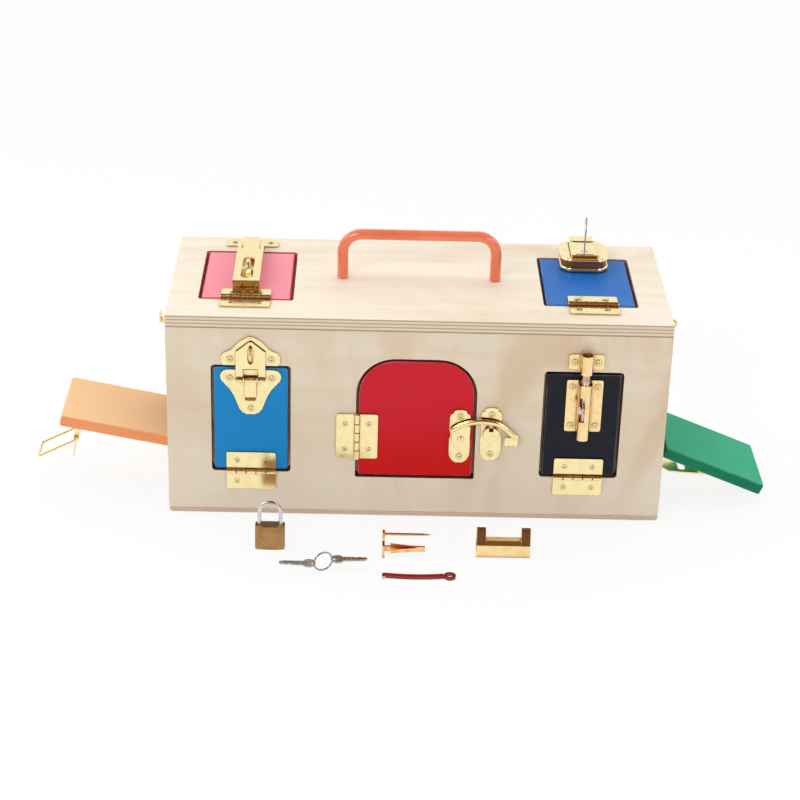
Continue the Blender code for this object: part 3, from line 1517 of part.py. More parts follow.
bail_path += [(bail_in, 0)]
node(
    "draw_latch_bail",
    wire([(x, y, 0) for x, y in bail_path], BAIL_WIRE, resolution=2),
    brass,
    draw_lever,
    (0, 0, BAIL_AXIS_OUT),
    (BAIL_ANGLE, 0, 0),
)
draw_keeper = node(
    "draw_latch_keeper",
    plate(
        rounded(
            -DRAW_KEEPER_WIDTH / 2, DRAW_KEEPER_LOW, DRAW_KEEPER_WIDTH / 2, DRAW_KEEPER_HIGH,
            HINGE_CORNER, 2,
        ),
        *seated(),
        pair(DRAW_HOOK_WIDTH, DRAW_KEEPER_HIGH - LATCH_SCREW_INSET),
    ),
    brass,
    left,
    (draw_x, 0, 0),
)
hook_outline = [
    (DRAW_HOOK_AT, SEAT + PLATE_THICK / 2),
    (DRAW_HOOK_AT, DRAW_HOOK_OUT - PLATE_THICK / 2),
    (DRAW_HOOK_AT + PLATE_THICK / 2, DRAW_HOOK_OUT),
    (DRAW_HOOK_AT + DRAW_HOOK_RISE, DRAW_HOOK_OUT),
    (DRAW_HOOK_AT + DRAW_HOOK_RISE, DRAW_HOOK_OUT - PLATE_THICK),
    (DRAW_HOOK_AT + PLATE_THICK, DRAW_HOOK_OUT - PLATE_THICK),
    (DRAW_HOOK_AT + PLATE_THICK, SEAT + PLATE_THICK / 2),
]
join(draw_keeper, side_profile(hook_outline, -DRAW_HOOK_WIDTH / 2, DRAW_HOOK_WIDTH / 2))

# Hasp on the right end door: leaf, slotted strap folded back, and the staple on the wall
strap_x = END_OPENING_Y
strap_y = sill_axis + STRAP_AXIS_ALONG
strap_half = STRAP_WIDTH / 2
third = STRAP_WIDTH / 3
clear = KNUCKLE_RADIUS + KNUCKLE_GAP
strap_leaf = node(
    "hasp_strap_leaf",
    plate(
        rounded(-strap_half, -clear - STRAP_LEAF_LENGTH, strap_half, -clear, HINGE_CORNER / 2, 2),
        leaf_low,
        leaf_high,
        pair(STRAP_WIDTH / 2, -clear - STRAP_LEAF_LENGTH / 2),
    ),
    brass,
    right_face,
    (strap_x, strap_y, HINGE_AXIS_UP),
)
strap_outline = rounded(-strap_half, clear, strap_half, STRAP_LENGTH, (0, 0, strap_half, strap_half), 6)
strap_slot = rounded(
    -STRAP_SLOT_LENGTH / 2,
    STRAP_HOLE_AT - STRAP_SLOT_WIDTH / 2,
    STRAP_SLOT_LENGTH / 2,
    STRAP_HOLE_AT + STRAP_SLOT_WIDTH / 2,
    STRAP_SLOT_WIDTH / 2 - SIDE_PLAY,
    4,
)
strap = node(
    "hasp_strap",
    plate(strap_outline, leaf_low, leaf_high, (strap_slot,)),
    brass,
    right_face,
    (strap_x, strap_y, HINGE_AXIS_UP),
    (STRAP_FOLD, 0, 0),
)


def strap_knuckle(obj, side, low, high):
    join(obj, rod((low, 0, 0), (high, 0, 0), KNUCKLE_RADIUS, segments=12))
    near, far = sorted((side * PIN_RADIUS, side * (clear + HINGE_CORNER)))
    join(
        obj,
        box(
            (low + KNUCKLE_GAP, near, leaf_low + LEAF_TAPER),
            (high - KNUCKLE_GAP, far, leaf_high - LEAF_TAPER),
        ),
    )


for low, high in ((-strap_half, -third / 2), (third / 2, strap_half)):
    strap_knuckle(strap_leaf, -1, low, high)
join(strap_leaf, rod((-strap_half, 0, 0), (strap_half, 0, 0), PIN_RADIUS, segments=10))
strap_knuckle(strap, 1, -third / 2 + KNUCKLE_GAP, third / 2 - KNUCKLE_GAP)
cut(strap, rod((-strap_half, 0, 0), (strap_half, 0, 0), PIN_RADIUS + PIN_CLEARANCE, segments=10))

eye_y = strap_y + STRAP_HOLE_AT
eye = node(
    "hasp_staple",
    plate(
        rounded(
            -EYE_PLATE_WIDTH / 2, eye_y - EYE_PLATE_HEIGHT / 2, EYE_PLATE_WIDTH / 2,
            eye_y + EYE_PLATE_HEIGHT / 2, HINGE_CORNER, 2,
        ),
        *seated(),
    ),
    brass,
    right,
    (strap_x, 0, 0),
)
eye_round = EYE_WIDTH / 2
eye_path = [(-eye_round, eye_y, SEAT + PLATE_THICK / 2)]
for x, z in arc(0, EYE_OUT - eye_round - EYE_WIRE, eye_round, 180, 0, 8):
    eye_path.append((x, eye_y, z))
eye_path.append((eye_round, eye_y, SEAT + PLATE_THICK / 2))
join(eye, wire(eye_path, EYE_WIRE, resolution=2))

# Padlock: front and back slightly bulged, the shackle's legs in two bores
padlock_at = (PADLOCK_X, PADLOCK_Y, 0)
half_w = PADLOCK_WIDTH / 2
half_d = PADLOCK_DEPTH / 2
bulge_shares = ((-1, -0.75), (-0.93, -1), (-0.5, -1.16), (0, -1.2), (0.5, -1.16), (0.93, -1), (1, -0.75))
flat_half = half_d - PADLOCK_BULGE
padlock_outline = [(x * half_w, y * flat_half) for x, y in bulge_shares]
padlock_outline += [(-x * half_w, -y * flat_half) for x, y in bulge_shares]
padlock = node(
    "padlock_body",
    plate(padlock_outline, 0, PADLOCK_HEIGHT),
    aged_brass,
    None,
    padlock_at,
)
shackle_half = SHACKLE_WIDTH / 2 - SHACKLE_WIRE
bores = [
    rod(
        (s * shackle_half, 0, PADLOCK_HEIGHT - SHACKLE_DEPTH),
        (s * shackle_half, 0, PADLOCK_HEIGHT + OVERRUN),
        SHACKLE_WIRE + SHACKLE_CLEARANCE,
        segments=12,
    )
    for s in (-1, 1)
]
cut(padlock, *bores)
shackle_foot = PADLOCK_HEIGHT - SHACKLE_DEPTH + SHACKLE_CLEARANCE
shackle_path = [(-shackle_half, 0, shackle_foot)]
for x, z in arc(0, SHACKLE_TOP - SHACKLE_WIRE - shackle_half, shackle_half, 180, 0, 12):
    shackle_path.append((x, 0, z))
shackle_path.append((shackle_half, 0, shackle_foot))
node("padlock_shackle", wire(shackle_path, SHACKLE_WIRE, resolution=2), steel, padlock, (0, 0, 0))

# Two flat keys on a split ring
ring_path = [(x, 0, z) for x, z in circle(0, 0, RING_RADIUS, 28)]
ring = node(
    "key_ring",
    wire(ring_path, RING_WIRE, cyclic=True, resolution=2),
    steel,
    None,
    RING_PLACE,
    (0, 0, RING_YAW),
)


def flat_key(name, side, turn):
    """A key with its bow threaded on the ring; its frame is the wire that it swings on."""
    ring_x = side * RING_RADIUS
    place = (
        RING_PLACE[0] + ring_x * math.cos(RING_YAW),
        RING_PLACE[1] + ring_x * math.sin(RING_YAW),
        RING_PLACE[2],
    )
    half = KEY_BOW_WIDTH / 2
    pulled = KEY_HOLE - RING_WIRE - SIDE_PLAY
    middle = pulled + KEY_BOW_LENGTH / 2 - KEY_HOLE_IN
    shank = KEY_SHANK / 2
    tip = pulled + KEY_LENGTH - KEY_HOLE_IN
    outline = arc(middle, 0, half, 28, 332, 14)
    outline += [
        (tip - shank, -shank),
        (tip, -shank / 3),
        (tip - shank / 2, shank / 2),
        (tip - shank * 2, shank / 2),
        (tip - shank * 3, shank),
        (tip - shank * 4, shank / 2),
        (tip - shank * 5, shank),
        (tip - shank * 6, shank),
    ]
    hole = circle(pulled, 0, KEY_HOLE, 12)
    mesh = plate(outline, -KEY_THICK / 2, KEY_THICK / 2, (hole,))
    return node(name, mesh, steel, None, place, (0, 0, turn))


flat_key("ring_key_left", -1, KEY_A_TURN)
flat_key("ring_key_right", 1, KEY_B_TURN)

# Bar lock body: two ears over a flat bar, bored through the ears for the bolt's pin
bar_half = BAR_LOCK_WIDTH / 2
ear_in = bar_half - BAR_LOCK_EAR
bar_outline = [
    (-bar_half, 0),
    (bar_half, 0),
    (bar_half, BAR_LOCK_EAR_TOP),
    (ear_in, BAR_LOCK_EAR_TOP),
    (ear_in - BAR_LOCK_SLOPE / 2, BAR_LOCK_BODY + BAR_LOCK_SLOPE),
    (ear_in - BAR_LOCK_SLOPE * 2, BAR_LOCK_BODY),
    (-ear_in + BAR_LOCK_SLOPE * 2, BAR_LOCK_BODY),
    (-ear_in + BAR_LOCK_SLOPE / 2, BAR_LOCK_BODY + BAR_LOCK_SLOPE),
    (-ear_in, BAR_LOCK_EAR_TOP),
    (-bar_half, BAR_LOCK_EAR_TOP),
]
bar_middle = BAR_LOCK_FRONT + BAR_LOCK_DEPTH / 2
bar_lock = node(
    "bar_lock_body",
    end_profile(bar_outline, -BAR_LOCK_DEPTH / 2, BAR_LOCK_DEPTH / 2),
    brass,
    None,
    (BAR_LOCK_X, bar_middle, 0),
)
key_slot = BAR_LOCK_BODY / 2
cut(
    bar_lock,
    rod(
        (-BAR_LOCK_WIDTH, 0, BAR_LOCK_PIN_UP),
        (BAR_LOCK_WIDTH, 0, BAR_LOCK_PIN_UP),
        SPRING_PIN_RADIUS + SHACKLE_CLEARANCE * 2,
        segments=12,
    ),
    box(
        (-BAR_LOCK_WIDTH, -BAR_LOCK_DEPTH / 2 + HINGE_LEAF * 2, key_slot - RED_KEY_WIDTH),
        (bar_half - HINGE_LEAF * 2, BAR_LOCK_DEPTH / 2 - HINGE_LEAF * 2, key_slot + RED_KEY_WIDTH),
    ),
)

# Spring bolt: end plate, pin and a stem with two splayed leaves
plate_half = SPRING_PLATE_DEPTH / 2
neck_half = SPRING_PLATE_NECK / 2
spring_bolt = node(
    "bar_lock_spring_bolt",
    side_profile(
        [
            (-plate_half, 0),
            (plate_half, 0),
            (plate_half, SPRING_PLATE_LOW),
            (neck_half, SPRING_PLATE_LOW + neck_half),
            (neck_half, SPRING_PLATE_TOP),
            (-neck_half, SPRING_PLATE_TOP),
            (-neck_half, SPRING_PLATE_LOW + neck_half),
            (-plate_half, SPRING_PLATE_LOW),
        ],
        0,
        SPRING_PLATE_THICK,
    ),
    brass,
    None,
    (SPRING_BOLT_LEFT, SPRING_BOLT_Y, 0),
)
stem_up = SPRING_PLATE_LOW / 2
join(
    spring_bolt,
    rod(
        (SPRING_PLATE_THICK / 2, 0, SPRING_PIN_UP),
        (SPRING_PIN_LENGTH - SPRING_PLATE_NECK, 0, SPRING_PIN_UP),
        SPRING_PIN_RADIUS,
        segments=12,
    ),
    rod(
        (SPRING_PIN_LENGTH - SPRING_PLATE_NECK - SIDE_PLAY, 0, SPRING_PIN_UP),
        (SPRING_PIN_LENGTH, 0, SPRING_PIN_UP),
        SPRING_PIN_RADIUS - LEAF_TAPER,
        SPRING_PIN_RADIUS / 4,
        segments=12,
    ),
    box(
        (SPRING_PLATE_THICK / 2, -SPRING_STEM_THICK / 2, stem_up - SPRING_STEM_HEIGHT / 2),
        (SPRING_STEM_LENGTH, SPRING_STEM_THICK / 2, stem_up + SPRING_STEM_HEIGHT / 2),
    ),
)
leaf_root = SPRING_STEM_LENGTH - SPRING_STEM_HEIGHT
leaf_tip = SPRING_PLATE_THICK + SPRING_STEM_HEIGHT
for s in (-1, 1):
    near = s * SPRING_STEM_THICK / 4
    far = s * SPRING_LEAF_SPLAY
    leaf = [
        (leaf_root, near),
        (leaf_root + SPRING_STEM_HEIGHT / 2, near),
        (leaf_tip, far + s * SPRING_LEAF_THICK),
        (leaf_tip, far),
    ]
    low = stem_up - SPRING_STEM_HEIGHT / 2 + SPRING_LEAF_THICK
    high = stem_up + SPRING_STEM_HEIGHT / 2 - SPRING_LEAF_THICK
    join(spring_bolt, plate(leaf, low, high))

# Red key: a slightly bowed flat bar with an eye at one end and a turned-down tip at the other
red_length = RED_KEY_RIGHT - RED_KEY_LEFT
bar_end = red_length - RED_KEY_EYE * 2
bar_points = []
for i in range(9):
    share = i / 8
    sag = RED_KEY_BOW * (4 * share * (1 - share)) / 2
    bar_points.append((share * bar_end, -sag))
red_key = node(
    "bar_lock_key",
    plate(band(bar_points, RED_KEY_WIDTH / 2), 0, RED_KEY_THICK),
    red_lacquer,
    None,
    (RED_KEY_LEFT, RED_KEY_Y, 0),
)
eye_centre = red_length - RED_KEY_EYE
join(
    red_key,
    plate(
        circle(eye_centre, 0, RED_KEY_EYE, 18),
        LEAF_TAPER,
        RED_KEY_THICK - LEAF_TAPER,
        (circle(eye_centre, 0, RED_KEY_EYE_HOLE, 12),),
    ),
    box(
        (bar_end - RED_KEY_WIDTH, -RED_KEY_WIDTH / 3, LEAF_TAPER * 2),
        (bar_end + RED_KEY_EYE - RED_KEY_EYE_HOLE, RED_KEY_WIDTH / 3, RED_KEY_THICK - LEAF_TAPER * 2),
    ),
    box(
        (-RED_KEY_THICK / 2, -RED_KEY_WIDTH / 2 - RED_KEY_TIP / 2, LEAF_TAPER * 2),
        (RED_KEY_THICK / 2, RED_KEY_WIDTH / 2 - LEAF_TAPER, RED_KEY_THICK - LEAF_TAPER * 2),
    ),
)
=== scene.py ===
"""Looks of the wooden latch box: materials, screws and small fittings, floor, light and camera."""

import math
import random

import bmesh
import bpy
from mathutils import Matrix, Vector
from mathutils.bvhtree import BVHTree


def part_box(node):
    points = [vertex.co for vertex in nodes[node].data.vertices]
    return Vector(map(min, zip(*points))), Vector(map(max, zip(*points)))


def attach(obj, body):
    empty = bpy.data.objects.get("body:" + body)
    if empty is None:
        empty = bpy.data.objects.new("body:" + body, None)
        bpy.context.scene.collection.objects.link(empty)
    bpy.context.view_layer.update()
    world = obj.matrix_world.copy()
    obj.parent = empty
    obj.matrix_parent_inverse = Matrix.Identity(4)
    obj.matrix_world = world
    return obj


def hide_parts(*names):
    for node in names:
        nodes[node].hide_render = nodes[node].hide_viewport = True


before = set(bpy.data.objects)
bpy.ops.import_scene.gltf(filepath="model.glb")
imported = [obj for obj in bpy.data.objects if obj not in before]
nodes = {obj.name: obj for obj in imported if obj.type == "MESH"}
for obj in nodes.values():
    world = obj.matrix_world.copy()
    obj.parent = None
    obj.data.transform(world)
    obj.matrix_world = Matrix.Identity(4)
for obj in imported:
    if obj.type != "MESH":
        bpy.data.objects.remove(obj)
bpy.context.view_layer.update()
seeded = random.Random(7)

mm = 0.001
X, Y, Z = 0, 1, 2

# The box's outer faces and the hinge pins, in metres
FRONT_FACE = -0.081
TOP_FACE = 0.176
END_FACE = 0.2
PIN_LEVEL = 0.0023
LOW_PIN = 0.0401
LID_PIN = -0.0469
CENTRE_PIN_X, CENTRE_PIN_Y = -0.0479, 0.0732

# Middles of the doors' fittings along their wall, in metres
FRONT_LEFT_X = -0.1329
FRONT_RIGHT_X = 0.1318
BOLT_X = 0.1327
LEFT_LID_X = -0.1386
TOGGLE_X = -0.139
RIGHT_LID_X = 0.1372
END_DOOR_X = 0.012

# How far the end doors stand open at rest
LEFT_OPEN = math.radians(79.2)
RIGHT_OPEN = math.radians(112.0)

# Edges sharper than this are rounded
SHARP = math.radians(38)


# Node trees


class Nodes:
    """Adds nodes to a tree; most of its methods return the new node's output."""

    def __init__(self, tree):
        self.tree = tree

    def node(self, kind, **settings):
        made = self.tree.nodes.new(kind)
        for key, value in settings.items():
            setattr(made, key, value)
        return made

    def feed(self, made, **inputs):
        """Links or sets inputs. A key is i and the socket's index, or its name with _ for spaces."""
        for key, value in inputs.items():
            numbered = key[1:].isdigit()
            socket = made.inputs[int(key[1:]) if numbered else key.replace("_", " ")]
            if isinstance(value, bpy.types.NodeSocket):
                self.tree.links.new(value, socket)
            else:
                socket.default_value = value
        return made

    def math(self, operation, first, second=0.0, third=0.0):
        made = self.node("ShaderNodeMath", operation=operation)
        return self.feed(made, i0=first, i1=second, i2=third).outputs[0]

    def span(self, value, low, high, to_low=0.0, to_high=1.0, curve="SMOOTHSTEP"):
        """Maps the range from low to high onto the one from to_low to to_high."""
        made = self.node("ShaderNodeMapRange", interpolation_type=curve)
        return self.feed(made, i0=value, i1=low, i2=high, i3=to_low, i4=to_high).outputs[0]

    def mix(self, share, first, second):
        """The first colour where share is 0, the second where it is 1."""
        made = self.node("ShaderNodeMix", data_type="RGBA")
        colours = [c if isinstance(c, bpy.types.NodeSocket) else (*c, 1) for c in (first, second)]
        return self.feed(made, i0=share, i6=colours[0], i7=colours[1]).outputs[2]

    def choose(self, share, first, second):
        """The first shader where share is 0, the second where it is 1."""
        made = self.node("ShaderNodeMixShader")
        return self.feed(made, i0=share, i1=first, i2=second).outputs[0]

    def parts(self, vector):
        return self.feed(self.node("ShaderNodeSeparateXYZ"), i0=vector).outputs


class Look(Nodes):
    """A procedural material, laid out in the coordinates of its object."""

    def __init__(self, name):
        self.material = bpy.data.materials.new(name)
        self.material.use_nodes = True
        super().__init__(self.material.node_tree)
        self.shader = self.tree.nodes["Principled BSDF"]
        self.place = self.node("ShaderNodeTexCoord").outputs["Object"]

    def scaled(self, x, y, z):
        made = self.node("ShaderNodeMapping")
        return self.feed(made, Vector=self.place, Scale=(x, y, z)).outputs[0]

    def noise(self, scale, vector=None, detail=3.0, roughness=0.5, distortion=0.0):
        made = self.node("ShaderNodeTexNoise")
        self.feed(made, Vector=vector or self.place, Scale=scale)
        self.feed(made, Detail=detail, Roughness=roughness, Distortion=distortion)
        return made.outputs["Fac"]

    def ramp(self, value, first, middle, last):
        """Each stop is a position and a colour."""
        made = self.node("ShaderNodeValToRGB")
        self.feed(made, Fac=value)
        stops = made.color_ramp.elements
        for stop, (position, colour) in zip(stops, (first, last)):
            stop.position = position
            stop.color = (*colour, 1)
        stops.new(middle[0]).color = (*middle[1], 1)
        return made.outputs["Color"]

    def bump(self, height, strength, distance):
        made = self.node("ShaderNodeBump")
        self.feed(made, Height=height, Strength=strength, Distance=distance)
        self.feed(self.shader, Normal=made.outputs[0])

    def finish(self, **inputs):
        self.feed(self.shader, **inputs)
        return self.material


def dress(node, material):
    mesh = nodes[node].data
    mesh.materials.clear()
    mesh.materials.append(material)


def darkened(colour, share):
    return [c * share for c in colour]


def lightened(colour, share, lift):
    return [min(1, c * share + lift) for c in colour]


# Plywood

PALE_BIRCH = (0.93, 0.835, 0.685)
DARK_BIRCH = (0.80, 0.625, 0.42)
WARM_BIRCH = (0.875, 0.765, 0.60)
FLAMED_BIRCH = (0.77, 0.57, 0.37)
BARK_FLECK = (0.45, 0.27, 0.13)
# Painted light: the colour that the walls grow paler towards at their foot, as if lit from the floor
FLOOR_BOUNCE_LIGHT = (0.97, 0.85, 0.715)

# The two colours of a cut edge's layers, and of the scorched edge of an opening. The scorched edges carry
# painted shade and light: near black on the front panel, as painted shade in the gaps round its doors,
# and paler on the other panels, as painted light reaching into their openings
PALE_LAYERS = ((0.84, 0.71, 0.53), (0.50, 0.365, 0.23))
WARM_LAYERS = ((0.86, 0.66, 0.52), (0.60, 0.39, 0.29))
CHAR_AND_GAP_SHADE = ((0.06, 0.020, 0.014), (0.30, 0.12, 0.08))
CHAR_AND_GAP_LIGHT = ((0.40, 0.17, 0.11), (0.90, 0.50, 0.35))

LAYERS_IN_SHEET = 3.5

# An edge inside these bounds belongs to an opening, one outside them to the rim of its sheet
OPENINGS_WITHIN = ((-0.19, 0.19), (-0.071, 0.071), (0.012, 0.164))


class Plywood(Look):
    """Birch plywood; across and along are the axes of the sheet's thickness and of its grain."""

    def __init__(self, name, across, along):
        super().__init__(name)
        self.across = across
        self.along = along
        self.axes = self.parts(self.place)
        self.fibres = self.noise(1.0, self.grained(420.0, 11.0), 3.0, 0.6)
        self.streaks = self.noise(1.0, self.grained(60.0, 4.0), 4.0, 0.6, 0.4)

    def grained(self, scale, along_grain, through=None):
        """Coordinates that are stretched along the grain."""
        scales = [scale, scale, scale]
        scales[self.along] = along_grain
        if through is not None:
            scales[self.across] = through
        return self.scaled(*scales)

    def tone(self):
        """How dark the grain is, from its broad figure down to the fibres."""
        figure = self.noise(2.6, self.grained(7.0, 0.9, through=2.0), 4.0, 0.55, 1.6)
        bands = "Z" if self.across == Y else "Y"
        wave = self.node("ShaderNodeTexWave", wave_type="BANDS", bands_direction=bands)
        self.feed(wave, Vector=self.grained(1.0, 0.22), Scale=21.0, Distortion=16.0)
        self.feed(wave, Detail=3.0, Detail_Scale=0.8)
        tone = self.math("MULTIPLY_ADD", figure, 0.9, -0.12)
        for part, share in ((self.streaks, 0.42), (wave.outputs["Fac"], 0.05), (self.fibres, 0.22)):
            tone = self.math("ADD", tone, self.math("MULTIPLY", part, share))
        return tone

    def flames(self):
        """Where the flamed figure lies: more of it towards the sheet's far end."""
        flame = self.noise(1.0, self.grained(5.0, 6.0 if self.across == Z else 13.0), 2.0, 0.5, 2.6)
        drift = self.math("MULTIPLY_ADD", self.span(self.axes[self.along], -0.12, 0.16), 0.60, 0.32)
        return self.math("MULTIPLY", self.span(flame, 0.40, 0.66), drift)

    def face(self, tone, light, dark, flamed):
        middle = [(a + b) / 2 for a, b in zip(light, dark)]
        face = self.ramp(tone, (0.52, light), (0.80, middle), (1.0, dark))
        flecks = self.span(self.noise(1.0, self.grained(900.0, 70.0), 1.0, 0.4), 0.70, 0.76)
        face = self.mix(self.math("MULTIPLY", flecks, 0.22), face, BARK_FLECK)
        face = self.mix(self.flames(), face, flamed)
        # Painted light from the floor: the walls grow paler towards their foot
        if self.across != Z:
            face = self.mix(self.span(self.axes[Z], 0.095, 0.0, 0.0, 0.65), face, FLOOR_BOUNCE_LIGHT)
        return face

    def layers(self, low, high, colours):
        """The layers of a cut edge, in a sheet whose thickness reaches from low to high."""
        depth = self.span(self.axes[self.across], low, high, curve="LINEAR")
        depth = self.math("ADD", depth, self.math("MULTIPLY", self.noise(60.0, None, 2.0), 0.05))
        layers = self.math("SINE", self.math("MULTIPLY", depth, 2 * math.pi * LAYERS_IN_SHEET))
        grain = self.span(self.noise(900.0, None, 2.0), 0.2, 0.6, 0.75, 1.0)
        share = self.math("MULTIPLY", self.span(layers, 0.05, 0.85), grain)
        return self.mix(share, *colours)

    def in_opening(self):
        """1 where a cut edge belongs to an opening, 0 on the sheet's rim."""
        inside = []
        for axis in (X, Y, Z):
            if axis != self.across:
                low, high = OPENINGS_WITHIN[axis]
                offset = self.math("SUBTRACT", self.axes[axis], (low + high) / 2)
                offset = self.math("ABSOLUTE", offset)
                inside.append(self.math("LESS_THAN", offset, (high - low) / 2))
        return self.math("MULTIPLY", *inside)

    def on_edge(self):
        """1 on the narrow edges, 0 on the sheet's faces."""
        normal = self.parts(self.node("ShaderNodeNewGeometry").outputs["True Normal"])
        return self.math("LESS_THAN", self.math("ABSOLUTE", normal[self.across]), 0.6)


def plywood(node, across, along, light, flamed, layers, char_and_gap_shading):
    look = Plywood(node + "_birch", across, along)
    low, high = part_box(node)
    tone = look.tone()
    face = look.face(tone, light, DARK_BIRCH, flamed)
    edge = look.layers(low[across], high[across], layers)
    # The openings' scorched edges, with painted shade or light in their colours
    burnt_and_gap_shading = look.mix(look.noise(300.0), *char_and_gap_shading)
    edge = look.mix(look.in_opening(), edge, burnt_and_gap_shading)
    colour = look.mix(look.on_edge(), face, edge)
    rough = look.span(tone, 0.5, 1.0, 0.42, 0.58)
    height = look.math("ADD", look.fibres, look.math("MULTIPLY", look.streaks, 0.6))
    look.bump(height, 0.22, 0.00025)
    return look.finish(Base_Color=colour, Roughness=rough, Specular_IOR_Level=0.4)


# Axes of thickness and grain, light and flamed wood, layers, scorched edges with their painted shade or
# light
panels = {
    "front_panel": (Y, X, WARM_BIRCH, FLAMED_BIRCH, PALE_LAYERS, CHAR_AND_GAP_SHADE),
    "back_panel": (Y, X, WARM_BIRCH, FLAMED_BIRCH, PALE_LAYERS, CHAR_AND_GAP_LIGHT),
    "top_panel": (Z, X, PALE_BIRCH, PALE_BIRCH, PALE_LAYERS, CHAR_AND_GAP_LIGHT),
    "bottom_panel": (Z, X, PALE_BIRCH, PALE_BIRCH, WARM_LAYERS, CHAR_AND_GAP_LIGHT),
    "left_panel": (X, Y, WARM_BIRCH, FLAMED_BIRCH, PALE_LAYERS, CHAR_AND_GAP_LIGHT),
    "right_panel": (X, Y, WARM_BIRCH, FLAMED_BIRCH, PALE_LAYERS, CHAR_AND_GAP_LIGHT),
}
for node, settings in panels.items():
    dress(node, plywood(node, *settings))


# Paint on the doors


def paint(name, broad, edge, worn, up, roughness, deep=None):
    """The first colour is that of the faces, the paint made paler there by painted sheen, as if light
    washed over them; edge colours the narrow sides and worn the rubbed arrises. up is the direction that
    the faces look in at rest, deep the colour that their foot fades to."""
    look = Look(name)
    facing = look.node("ShaderNodeVectorMath", operation="DOT_PRODUCT")
    look.feed(facing, i0=look.node("ShaderNodeTexCoord").outputs["Normal"], i1=up)
    level = look.math("ABSOLUTE", facing.outputs["Value"])
    brushed = look.noise(1.0, look.scaled(40, 400, 400), 3.0, 0.6)
    cloud = look.noise(14.0)

    # Painted sheen: the faces that look along up take the paler colour, as if light washed over them, and
    # the narrow sides take the edge colour
    colour = look.mix(look.span(level, 0.75, 0.995), edge, broad)
    shade = look.math("MULTIPLY_ADD", brushed, 0.10, look.math("MULTIPLY", cloud, 0.12))
    colour = look.mix(look.span(shade, 0.06, 0.18, 0.0, 0.5), colour, darkened(broad, 0.86))
    if deep:
        foot = look.span(look.parts(look.place)[Z], 0.105, 0.040)
        colour = look.mix(foot, colour, deep)
    arris = look.math("MULTIPLY", look.span(level, 0.2, 0.5), look.span(level, 0.97, 0.8))
    rubbed = look.span(look.noise(45.0), 0.35, 0.7, 0.15, 0.55)
    colour = look.mix(look.math("MULTIPLY", arris, rubbed), colour, worn)
    specks = look.span(look.noise(700.0, None, 1.0), 0.735, 0.76)
    colour = look.mix(look.math("MULTIPLY", specks, 0.25), colour, lightened(broad, 1.25, 0.03))

    peel = look.math("MULTIPLY", look.noise(520.0, None, 2.0), 0.5)
    look.bump(look.math("MULTIPLY_ADD", brushed, 0.7, peel), 0.16, 0.0002)
    rough = look.span(cloud, 0.3, 0.7, roughness - 0.05, roughness + 0.06)
    return look.finish(Base_Color=colour, Roughness=rough, Specular_IOR_Level=0.2)


OUT, UP = (0, -1, 0), (0, 0, 1)
# The left one is some way off square, which lets a little of the edge's colour into the face
LEFT_END_UP = (-math.cos(LEFT_OPEN), 0, math.sin(LEFT_OPEN))
RIGHT_END_UP = (math.cos(RIGHT_OPEN), 0, -math.sin(RIGHT_OPEN))

# Colour of the faces with their painted sheen, colour of the edges, direction of the faces, roughness
door_paints = {
    "front_left": ((0.006, 0.27, 0.66), (0.006, 0.19, 0.50), OUT, 0.42),
    "front_right": ((0.009, 0.010, 0.020), (0.008, 0.008, 0.014), OUT, 0.42),
    "centre": ((0.70, 0.010, 0.028), (0.56, 0.006, 0.012), OUT, 0.42),
    "top_left": ((0.98, 0.31, 0.38), (0.78, 0.010, 0.035), UP, 0.45),
    "top_right": ((0.006, 0.15, 0.54), (0.004, 0.07, 0.38), UP, 0.36),
    "left_end": ((1.0, 0.67, 0.345), (1.0, 0.33, 0.115), LEFT_END_UP, 0.45),
    "right_end": ((0.012, 0.43, 0.22), (0.000, 0.19, 0.095), RIGHT_END_UP, 0.45),
}
worn_paints = {"top_left": (0.80, 0.012, 0.035)}
deep_paints = {"centre": (0.68, 0.001, 0.002)}
for door, (broad, edge, up, roughness) in door_paints.items():
    worn = worn_paints.get(door, lightened(broad, 0.6, 0.3))
    look = paint(door + "_paint", broad, edge, worn, up, roughness, deep_paints.get(door))
    dress(door + "_door", look)


# Metal and enamel


def metal(name, bright, dull, roughness, wave=0.5, scratch=(1800, 180, 1800), hollow_shade=None):
    """Metal with faint scratches and pits; its last colour is painted shade, which darkens it in corners
    and under edges.
    """
    look = Look(name)
    cloud = look.noise(160.0, None, 3.0, 0.6)
    lines = look.noise(1.0, look.scaled(*scratch), 2.0, 0.6)
    pits = look.span(look.noise(1300.0, None, 1.0), 0.70, 0.78)
    colour = look.mix(look.span(cloud, 0.35, 0.75), bright, dull)
    colour = look.mix(look.math("MULTIPLY", pits, 0.3), colour, darkened(dull, 0.45))
    # Painted shade: the colour darkens where ambient occlusion finds other surfaces close by
    if hollow_shade:
        open_air = look.node("ShaderNodeAmbientOcclusion", samples=8)
        look.feed(open_air, Distance=0.005)
        hidden = look.span(open_air.outputs["AO"], 0.88, 0.36, 0.0, 0.9)
        colour = look.mix(hidden, colour, hollow_shade)
    scratched = look.span(lines, 0.3, 0.7, 0.0, 0.06)
    clouded = look.span(cloud, 0.3, 0.7, roughness, roughness + 0.05)
    waves = look.math("MULTIPLY", look.noise(150.0, None, 2.0), wave)
    look.bump(look.math("MULTIPLY_ADD", lines, 0.05, waves), 0.3, 0.00025)
    rough = look.math("ADD", scratched, clouded)
    return look.finish(Base_Color=colour, Metallic=1.0, Roughness=rough)


